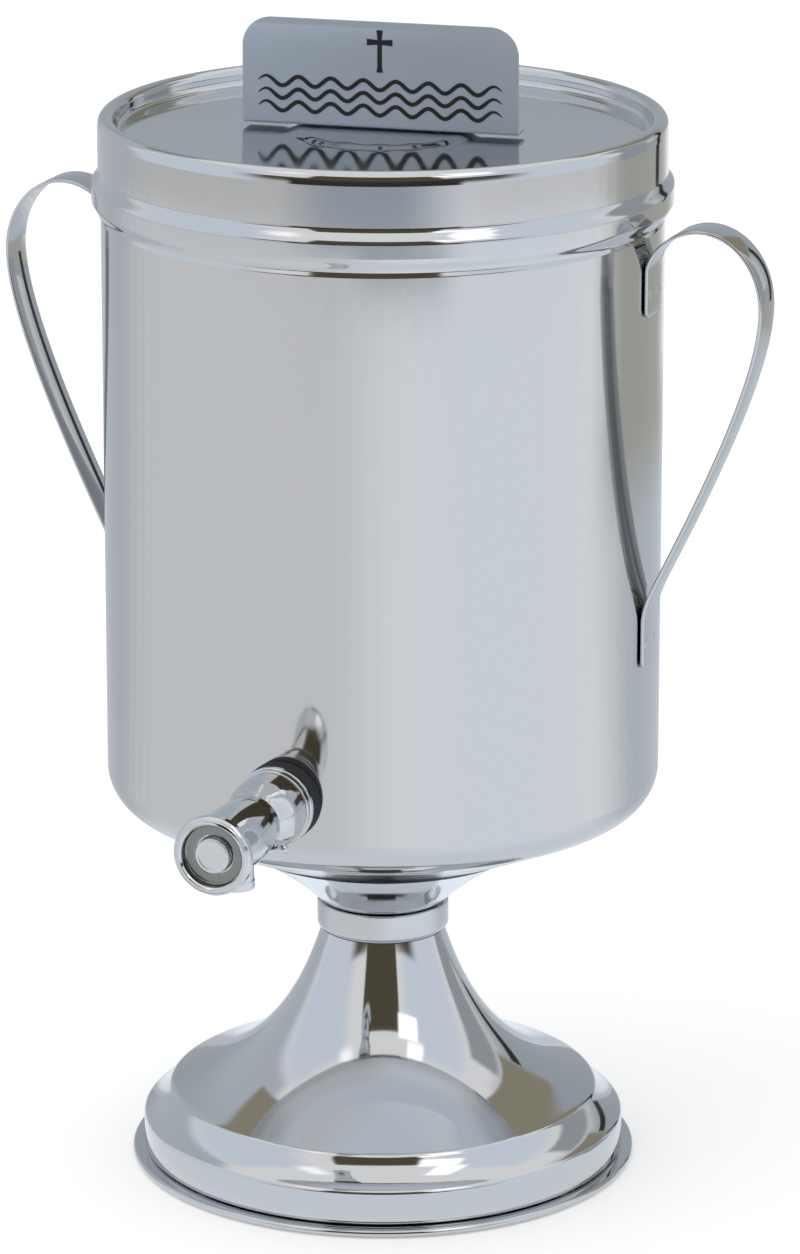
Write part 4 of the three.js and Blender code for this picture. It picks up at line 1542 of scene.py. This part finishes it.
@dataclass
class PushButton(SubAssembly):
    """The button and the valve train behind it, which slide together."""

    body: str = "button"
    front: float = 66.8
    length: float = 8.6
    face: float = 2.1
    skirt: float = 1.1
    dish: float = 0.25
    dish_inset: float = 1.5
    rim_inset: float = 1.1
    rim_drop: float = 0.15
    rim_rounds: Triple = (0.8, 0.3, 0.8)
    back_rounds: Point = (0.2, 0.1)

    def build(self) -> None:
        """Builds the button and dresses the valve train."""
        back = self.front - self.length
        pocket = self.button_radius - self.skirt
        corners = [
            (0, self.front - self.dish, 0),
            (self.button_radius - self.dish_inset, self.front - self.dish, self.rim_rounds[0]),
            (self.button_radius - self.rim_inset, self.front, self.rim_rounds[1]),
            (self.button_radius, self.front - self.rim_drop, self.rim_rounds[2]),
            (self.button_radius, back, self.back_rounds[0]),
            (pocket, back, self.back_rounds[1]),
            (pocket, self.front - self.face, 0),
            (0, self.front - self.face, 0),
        ]
        button = turned("button_cap", rounded(corners, steps=6), Smoothness.MEDIUM, self.tap_place())
        self.piece(button, self.finishes.button, "button_metal", "push_button")
        self.refinish(self.finishes.brass, "valve_stem", "valve_retainer")
        self.refinish(self.finishes.rubber, "valve_disc")


@dataclass
class Lid(SubAssembly):
    """The pressed cap: recessed deck, raised middle, rolled crest and beaded skirt."""

    body: str = "lid"
    gauge: float = 0.9
    deck_drop: float = 3.7
    deck_fillet: float = 2.2
    boss_top_radius: float = 30.0
    boss_foot_radius: float = 35.0
    boss_rise: float = 1.0
    boss_ease: float = 4.0
    skirt_gap: float = 0.5
    bead_height: float = 15.4
    bead_bulge: float = 2.35
    bead_shoulder: float = 0.33
    bead_steps: int = 48
    crest_ease: float = 1.5
    ease_step: float = 0.5

    def build(self) -> None:
        """Builds the cap."""
        self.piece(turned("lid_cap", self.outline()), self.finishes.polished, "polished_steel", "lid")

    def skirt(self, wall: float) -> list[Point]:
        """The beaded skirt, from the wall down to the lip.

        Args:
            wall: The radius of the plain wall above it.

        Returns:
            The skirt's points.
        """
        foot, _ = self.heights("lid")
        line = []
        for i in range(self.bead_steps + 1):
            share = i / self.bead_steps
            climb = min(share, 1 - share, self.bead_shoulder) / self.bead_shoulder
            swell = climb**2 * (3 - 2 * climb)
            line.append((wall + self.bead_bulge * swell, foot + self.bead_height * (1 - share)))
        return line

    def outline(self) -> list[Point]:
        """The cap's section, from the middle of the deck out, down the skirt and back inside.

        Returns:
            The section's points, as radius and height.
        """
        crest = self.roll_radius + self.gap + self.gauge
        _, top = self.heights("lid")
        neck = self.tank_radius - self.neck_inset
        roll = (neck - self.roll_radius, top - crest)
        wall = neck + self.skirt_gap + self.gauge
        deck = roll[1] - self.deck_drop
        boss = deck + self.boss_rise
        fillet = (roll[0] - crest - self.deck_fillet, deck + self.deck_fillet)
        step = [
            (self.boss_top_radius - self.boss_ease, boss),
            (self.boss_top_radius, boss),
            ((self.boss_top_radius + self.boss_foot_radius) / 2, (boss + deck) / 2),
            (self.boss_foot_radius, deck),
            (self.boss_foot_radius + self.boss_ease, deck),
        ]
        over = [(0, boss), *through(step, steps=6), *arc(fillet, self.deck_fillet, -90, 0, steps=8)]
        under = [
            *arc(roll, crest - self.gauge, 0, 180, steps=16),
            *arc(fillet, self.deck_fillet + self.gauge, 0, -90, steps=6),
            (self.boss_foot_radius, deck - self.gauge),
            (self.boss_top_radius, boss - self.gauge),
            (0, boss - self.gauge),
        ]
        crown = arc(roll, crest, 180, 0, steps=28)
        skirt = self.skirt(wall)
        upper, lower = roll[1] - self.crest_ease, skirt[0][1] + self.ease_step
        plain = [(wall, height) for height in (upper, upper - self.ease_step, lower + self.ease_step, lower)]
        return over + crown + plain + skirt + self.skirt(wall - self.gauge)[::-1] + under


@dataclass
class Sign(SubAssembly):
    """The bent sign on the lid, its cross, its waves and its screws."""

    body: str = "lid"
    turn_degrees: float = 6.0
    width: float = 101.6
    gauge: float = 1.2
    corner_radius: float = 10.5
    corner_steps: int = 18
    top_reach: float = 0.4
    face_ease: float = 6.0
    foot_depth: float = 9.6
    bend_radius: float = 1.4
    bend_steps: int = 8
    edge_round: float = 0.25
    figure_depth: float = 0.12
    cross_height: float = 15.3
    cross_width: float = 9.4
    cross_stroke: float = 1.7
    cross_flare: float = 0.35
    cross_neck: float = 1.0
    cross_foot: float = 2.0
    cross_arm_drop: float = 4.4
    cross_drop: float = 2.9
    wave_length: float = 90.0
    wave_rise: float = 11.2
    wave_lines: int = 3
    wave_pitch: float = 4.6
    wave_swing: float = 1.7
    wave_count: float = 7.5
    wave_stroke: float = 1.5
    wave_steps: int = 180
    wave_taper_share: float = 1 / 12
    wave_tip_share: float = 0.06

    def build(self) -> None:
        """Builds the plate and its figures, and dresses the fasteners."""
        low, high = self.heights("sign_plate")
        self.turned_piece(self.plate(low, high), self.finishes.sign, "sign_metal", "sign_plate")
        self.turned_piece(self.cross(high), self.finishes.enamel, "sign_metal")
        for number in range(self.wave_lines):
            self.turned_piece(self.wave(low, number), self.finishes.enamel, "sign_metal")
        fasteners = [f"sign_{kind}_{side}" for kind in ("screw", "nut") for side in ("left", "right")]
        self.refinish(self.finishes.tie_steel, *fasteners)

    def turned_piece(self, mesh: bpy.types.Mesh, finish: Finish, slot: str, *replaced: str) -> None:
        """Adds a piece whose mesh was made square to the handles, turned with the lid."""
        mesh.transform(Matrix.Rotation(math.radians(self.turn_degrees), 4, "Z"))
        self.piece(mesh, finish, slot, *replaced)

    def front(self) -> float:
        """The depth of the sign's face along Y."""
        return -self.foot_depth / 2

    def plate(self, low: float, high: float) -> bpy.types.Mesh:
        """One sheet: the face with its round corners, bent back at the bottom into the foot.

        Args:
            low: The height of the sign's foot.
            high: The height of its top.

        Returns:
            The piece's mesh.
        """
        half, rnd, thick = self.width / 2, self.corner_radius, self.gauge
        bend, front = self.bend_radius, self.front()
        rows: list[tuple[float, float, float, float]] = []
        for i in range(self.corner_steps + 1):
            angle = math.pi / 2 * i / self.corner_steps
            height = high - rnd + rnd * math.sin(math.pi / 2 - angle)
            inset = rnd - rnd * math.cos(math.pi / 2 - angle)
            rows.append((front + thick / 2, height, half - inset, 0.0))
        for height in (high - rnd - self.face_ease, low + bend + self.face_ease):
            rows.append((front + thick / 2, height, half, 0.0))
        radius = bend - thick / 2
        for i in range(self.bend_steps + 1):
            angle = math.pi / 2 * i / self.bend_steps
            y = front + bend - radius * math.cos(angle)
            z = low + bend - radius * math.sin(angle)
            rows.append((y, z, half, angle))
        rows.append((front + self.foot_depth, low + thick / 2, half, math.pi / 2))
        sections = []
        for y, z, reach, angle in rows:
            normal = Vector((0, math.cos(angle), math.sin(angle)))
            centre = Vector((0, y, z))
            size = (max(reach, self.top_reach), self.gauge / 2)
            sections.append(strip_section(centre, Vector((1, 0, 0)), normal, size, self.edge_round, 2))
        return swept("sign_sheet", sections)

    def cross(self, high: float) -> bpy.types.Mesh:
        """The small cross, with arms that widen a little towards their ends.

        Args:
            high: The height of its top.

        Returns:
            The piece's mesh.
        """
        top = high - self.cross_drop
        foot = top - self.cross_height
        arm = top - self.cross_arm_drop
        half, reach, flare = self.cross_stroke / 2, self.cross_width / 2, self.cross_flare
        left = [
            (-half - flare, top),
            (-half, arm + half + self.cross_neck),
            (-half, arm + half),
            (-reach, arm + half + flare),
            (-reach, arm - half - flare),
            (-half, arm - half),
            (-half, foot + self.cross_foot),
            (-half - flare, foot),
        ]
        outline = left + [(-x, z) for x, z in reversed(left)]
        return slab("sign_cross", outline, self.front() + self.figure_depth, self.front() - self.figure_depth)

    def wave(self, low: float, number: int) -> bpy.types.Mesh:
        """One wave line with tapered ends.

        Args:
            low: The height of the sign's foot.
            number: Which line it is, from the bottom.

        Returns:
            Its mesh.
        """
        middle = low + self.wave_rise + (number - (self.wave_lines - 1) / 2) * self.wave_pitch
        upper, lower = [], []
        for i in range(self.wave_steps + 1):
            share = i / self.wave_steps
            x = self.wave_length * (share - 0.5)
            phase = FULL_TURN * self.wave_count * share
            z = middle + self.wave_swing * math.sin(phase)
            taper = min(1.0, share / self.wave_taper_share, (1 - share) / self.wave_taper_share) ** 0.5
            half = self.wave_stroke / 2 * max(taper, self.wave_tip_share)
            slope = self.wave_swing * FULL_TURN * self.wave_count / self.wave_length * math.cos(phase)
            tilt = math.sqrt(1 + slope**2)
            upper.append((x - half * slope / tilt, z + half / tilt))
            lower.append((x + half * slope / tilt, z - half / tilt))
        front, back = self.front() - self.figure_depth, self.front() + self.figure_depth
        depths = (front, back, back, front)
        sections = [
            [Vector((x, y, z)) for (x, z), y in zip((above, above, below, below), depths)]
            for above, below in zip(upper, lower)
        ]
        return swept(f"sign_wave_{number}", sections)


# Studio


@dataclass(frozen=True)
class Card:
    """A soft-edged card that only polished metal sees, standing or lying round the urn's axis.

    Azimuths are in degrees from the camera's side towards its right. Places are distances out
    from the axis and heights, in metres.
    """

    name: str
    azimuth: float
    spread: float
    start: Point
    end: Point
    tone: Colour
    cover: float = 1.0
    side_fade: float = 0.25
    end_fade: float = 0.25
    column_degrees: float = 3.0

    def build(self, camera_azimuth: float) -> None:
        """Adds the card to the scene.

        Args:
            camera_azimuth: The camera's own azimuth in radians, from -Y towards +X.
        """
        columns = max(2, round(self.spread / self.column_degrees))
        places, corners = [], []
        for i in range(columns + 1):
            turn = camera_azimuth + math.radians(self.azimuth + self.spread * (2 * i / columns - 1))
            for share, (out, up) in ((0.0, self.start), (1.0, self.end)):
                places.append((out * math.sin(turn), -out * math.cos(turn), up))
                corners.append((i / columns, share))
        faces = [(2 * i, 2 * i + 2, 2 * i + 3, 2 * i + 1) for i in range(columns)]
        mesh = bpy.data.meshes.new(self.name)
        mesh.from_pydata(places, [], faces)
        layer = mesh.uv_layers.new(name="across_and_up")
        for loop in mesh.loops:
            layer.data[loop.index].uv = corners[loop.vertex_index]
        mesh.materials.append(self.material())
        card = bpy.data.objects.new(self.name, mesh)
        card.visible_camera = False
        card.visible_diffuse = False
        card.visible_shadow = False
        card.visible_volume_scatter = False
        bpy.context.scene.collection.objects.link(card)

    def material(self) -> bpy.types.Material:
        """A plain glow of the card's tone that fades out towards its edges.

        Returns:
            The card's material.
        """
        material = bpy.data.materials.new(self.name)
        material.use_nodes = True
        material.node_tree.nodes.clear()
        material.cycles.emission_sampling = "NONE"
        graph = Graph(material.node_tree)
        place = graph.add("SeparateXYZ", {0: graph.add("TexCoord").outputs["UV"]}).outputs
        shown = graph.math("MULTIPLY", self.edge(graph, place[0], self.side_fade), self.cover)
        shown = graph.math("MULTIPLY", shown, self.edge(graph, place[1], self.end_fade))
        glow = graph.add("Emission", {"Color": (*self.tone, 1), "Strength": 1.0})
        clear = graph.add("BsdfTransparent")
        mixed = graph.add("MixShader", {0: shown, 1: clear.outputs[0], 2: glow.outputs[0]})
        graph.add("OutputMaterial", {"Surface": mixed.outputs[0]})
        return material

    @staticmethod
    def edge(graph: Graph, place: Socket, fade: float) -> Socket:
        """Rises from 0 to 1 over the fade at both ends of a place that runs from 0 to 1.

        Args:
            graph: The material's nodes.
            place: The place across the card.
            fade: How far the fade reaches.

        Returns:
            The number's socket.
        """
        from_end = graph.math("MINIMUM", place, graph.math("SUBTRACT", 1.0, place))
        values = {"Value": from_end, "From Max": max(fade, 1e-3)}
        return graph.add("MapRange", values, interpolation_type="SMOOTHSTEP").outputs[0]


@dataclass
class Studio:
    """Floor, background, lamps and the camera of the photograph."""

    image_width: float = 800.0
    image_height: float = 1254.0
    focal_pixels: float = 6164.841
    axis_pixel_x: float = 383.0
    distance: float = 2168.491
    eye_height: float = 845.379
    pitch_radians: float = 0.287926369
    azimuth_degrees: float = 20.5
    sensor: float = 36.0
    clip: Point = (0.05, 200.0)
    floor_size: float = 60.0
    floor_colour: Colour = (0.80, 0.80, 0.80)
    floor_glow: float = 0.24
    floor_roughness: float = 0.9
    lamp_size: Point = (1.6, 1.2)
    lamp_power: float = 6.0
    lamp_place: Triple = (-0.6, -0.8, 2.0)
    glossy_bounces: int = 10

    def build(self) -> None:
        """Builds the whole studio."""
        scene = bpy.context.scene
        scene.view_settings.view_transform = "Standard"
        scene.cycles.glossy_bounces = self.glossy_bounces
        self.camera()
        self.floor()
        self.world()
        self.lamps()
        for card in self.cards():
            card.build(math.radians(self.azimuth_degrees))

    @staticmethod
    def cards() -> list[Card]:
        """The grey, brown and bright cards whose reflections shape the polished metal; some of the floor
        cards are painted light and shade on the floor, seen only in reflections.

        Returns:
            The cards.
        """
        brown: Colour = (0.105, 0.09, 0.06)
        charcoal: Colour = (0.16, 0.18, 0.20)
        bright: Colour = (1.8, 1.8, 1.8)
        tan: Colour = (0.33, 0.31, 0.23)
        black: Colour = (0.04, 0.04, 0.04)
        low, far, sunk = 0.16, 5.0, -0.6
        rows = [
            # painted shadow, shade and light: the floor cards at the foot, to the left, to the front, left
            # behind, right near and right behind paint the urn's bluish shadow round its foot, a pool of
            # light in front and shade to the sides and back, seen only in reflections
            ("floor_tone_near", 0, 180, (0.097, 0.001), (0.4, 0.001), (0.83, 0.90, 0.98), 0.95, 0.0, 0.03),
            ("floor_tone_left", -62, 80, (low, 0.002), (far, 0.002), (0.81, 0.83, 0.85), 1, 0.25, 0.03),
            ("floor_tone_front", 45, 75, (low, 0.003), (far, 0.003), (0.95, 1.01, 1.08), 1, 0.4, 0.03),
            ("floor_far_left", -90, 85, (1.72, 0.0035), (far, 0.0035), (0.67, 0.67, 0.66), 1, 0.1, 0.02),
            ("floor_far_right", 70, 62, (1.72, 0.0038), (far, 0.0038), (0.8, 0.8, 0.81), 1, 0.3, 0.02),
            ("floor_tone_left_back", -152, 54, (low, 0.004), (far, 0.004), (0.57, 0.6, 0.65), 1, 0.35, 0.03),
            ("floor_tone_right_near", 138, 55, (low, 0.005), (1.3, 0.005), (0.6, 0.65, 0.71), 1, 0.35, 0.15),
            ("floor_tone_right_back", 128, 40, (0.9, 0.006), (far, 0.006), (0.48, 0.49, 0.45), 1, 0.3, 0.06),
            ("floor_line_front", 8, 25, (1.56, 0.007), (1.66, 0.007), charcoal, 0.8, 0.3, 0.3),
            ("front_low_wall", -5, 42, (1.685, 0.0), (1.685, 0.12), (0.42, 0.47, 0.53), 1, 0.38, 0.0),
            ("front_dark_wall", -3, 35, (1.68, 0.075), (1.68, 0.34), black, 1, 0.05, 0.03),
            ("front_horizon", 0, 62, (1.9, 0.22), (1.9, 0.62), brown, 1, 0.15, 0.2),
            ("front_gap", -3, 27, (1.7, 0.30), (1.7, 1.75), brown, 1, 0.05, 0.05),
            ("right_back_panel", 118, 14, (2.0, sunk), (2.0, 1.8), (0.40, 0.43, 0.46), 1, 0.2, 0.1),
            ("right_back_post", 142, 2.5, (1.7, 0.0), (1.7, 0.8), black, 1, 0.1, 0.0),
            ("right_back_shelf", 142, 12, (1.7, 0.75), (1.6, 2.2), tan, 1, 0.1, 0.1),
            ("left_back_shelf", -143, 12, (1.7, 1.5), (1.6, 2.3), tan, 1, 0.15, 0.15),
            ("back_wall", 180, 60, (2.4, sunk), (2.4, 3.0), (0.43, 0.47, 0.51), 1, 0.2, 0.17),
            ("left_back_wall", -137, 28, (2.35, sunk), (2.35, 3.2), (0.57, 0.62, 0.67), 1, 0.3, 0.17),
            ("left_wall", -82, 40, (2.3, sunk), (2.3, 3.5), (0.80, 0.88, 0.97), 1, 0.2, 0.15),
            ("right_wall", 67, 42, (2.3, sunk), (2.3, 3.5), (0.82, 0.90, 1.0), 1, 0.2, 0.15),
            ("softbox_left", -50, 14, (1.7, 1.85), (1.3, 3.0), (1.5, 1.5, 1.5), 1, 0.45, 0.3),
            ("softbox_right", 44, 13, (1.7, 1.75), (1.3, 3.0), bright, 1, 0.2, 0.2),
            ("small_window", 34, 15, (1.65, 1.2), (1.55, 1.75), bright, 1, 0.15, 0.1),
        ]
        return [Card(*row) for row in rows]

    def camera(self) -> None:
        """Places the camera where the photograph was taken from."""
        data = bpy.data.cameras.new("camera")
        data.sensor_width = self.sensor
        data.lens = self.focal_pixels / self.image_height * self.sensor
        data.shift_x = (self.image_width / 2 - self.axis_pixel_x) / self.image_height
        data.clip_start, data.clip_end = self.clip
        camera = bpy.data.objects.new("camera", data)
        turn = math.radians(self.azimuth_degrees)
        place = (self.distance * math.sin(turn), -self.distance * math.cos(turn), self.eye_height)
        camera.location = Vector(place) * MM
        camera.rotation_euler = (math.pi / 2 - self.pitch_radians, 0, turn)
        bpy.context.scene.collection.objects.link(camera)
        bpy.context.scene.camera = camera

    def floor(self) -> None:
        """A wide pale floor that keeps the shadow."""
        half = self.floor_size / 2
        corners = [(-half, -half, 0), (half, -half, 0), (half, half, 0), (-half, half, 0)]
        mesh = bpy.data.meshes.new("floor")
        mesh.from_pydata(corners, [], [(0, 1, 2, 3)])
        floor = bpy.data.objects.new("floor", mesh)
        bpy.context.scene.collection.objects.link(floor)
        material = bpy.data.materials.new("floor_white")
        material.use_nodes = True
        graph = Graph(material.node_tree)
        path = graph.add("LightPath").outputs
        seen = graph.math("MAXIMUM", path["Is Camera Ray"], path["Is Glossy Ray"])
        seen = graph.math("MAXIMUM", seen, path["Is Transmission Ray"])
        pale = {
            "Base Color": (*self.floor_colour, 1),
            "Roughness": self.floor_roughness,
            "Specular IOR Level": 0.0,
            "Emission Color": (1, 1, 1, 1),
            "Emission Strength": graph.math("MULTIPLY", seen, self.floor_glow),
        }
        graph.fill(material.node_tree.nodes["Principled BSDF"], pale)
        mesh.materials.append(material)

    def world(self) -> None:
        """A white surround of strength 1."""
        world = bpy.data.worlds.new("surround")
        bpy.context.scene.world = world
        world.use_nodes = True
        back = world.node_tree.nodes["Background"]
        back.inputs["Color"].default_value = (1, 1, 1, 1)
        back.inputs["Strength"].default_value = 1.0

    def lamps(self) -> None:
        """One large soft lamp overhead."""
        data = bpy.data.lights.new("overhead", "AREA")
        data.shape = "RECTANGLE"
        data.size, data.size_y = self.lamp_size
        data.energy = self.lamp_power
        lamp = bpy.data.objects.new("overhead", data)
        lamp.location = self.lamp_place
        lamp.rotation_euler = (-lamp.location).to_track_quat("-Z", "Y").to_euler()
        lamp.visible_glossy = False
        bpy.context.scene.collection.objects.link(lamp)


def main() -> None:
    """Builds the urn and its studio."""
    logging.basicConfig(level=logging.INFO, format="%(name)s: %(message)s")
    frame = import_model()
    Studio().build()
    nodes = frame["nodes"]
    for assembly in (Pedestal, Tank, StrapHandles, Tap, ReturnSpring, PushButton, Lid, Sign):
        LOG.info("building %s", assembly.__name__)
        assembly(nodes).build()


if __name__ == "__main__":
    main()
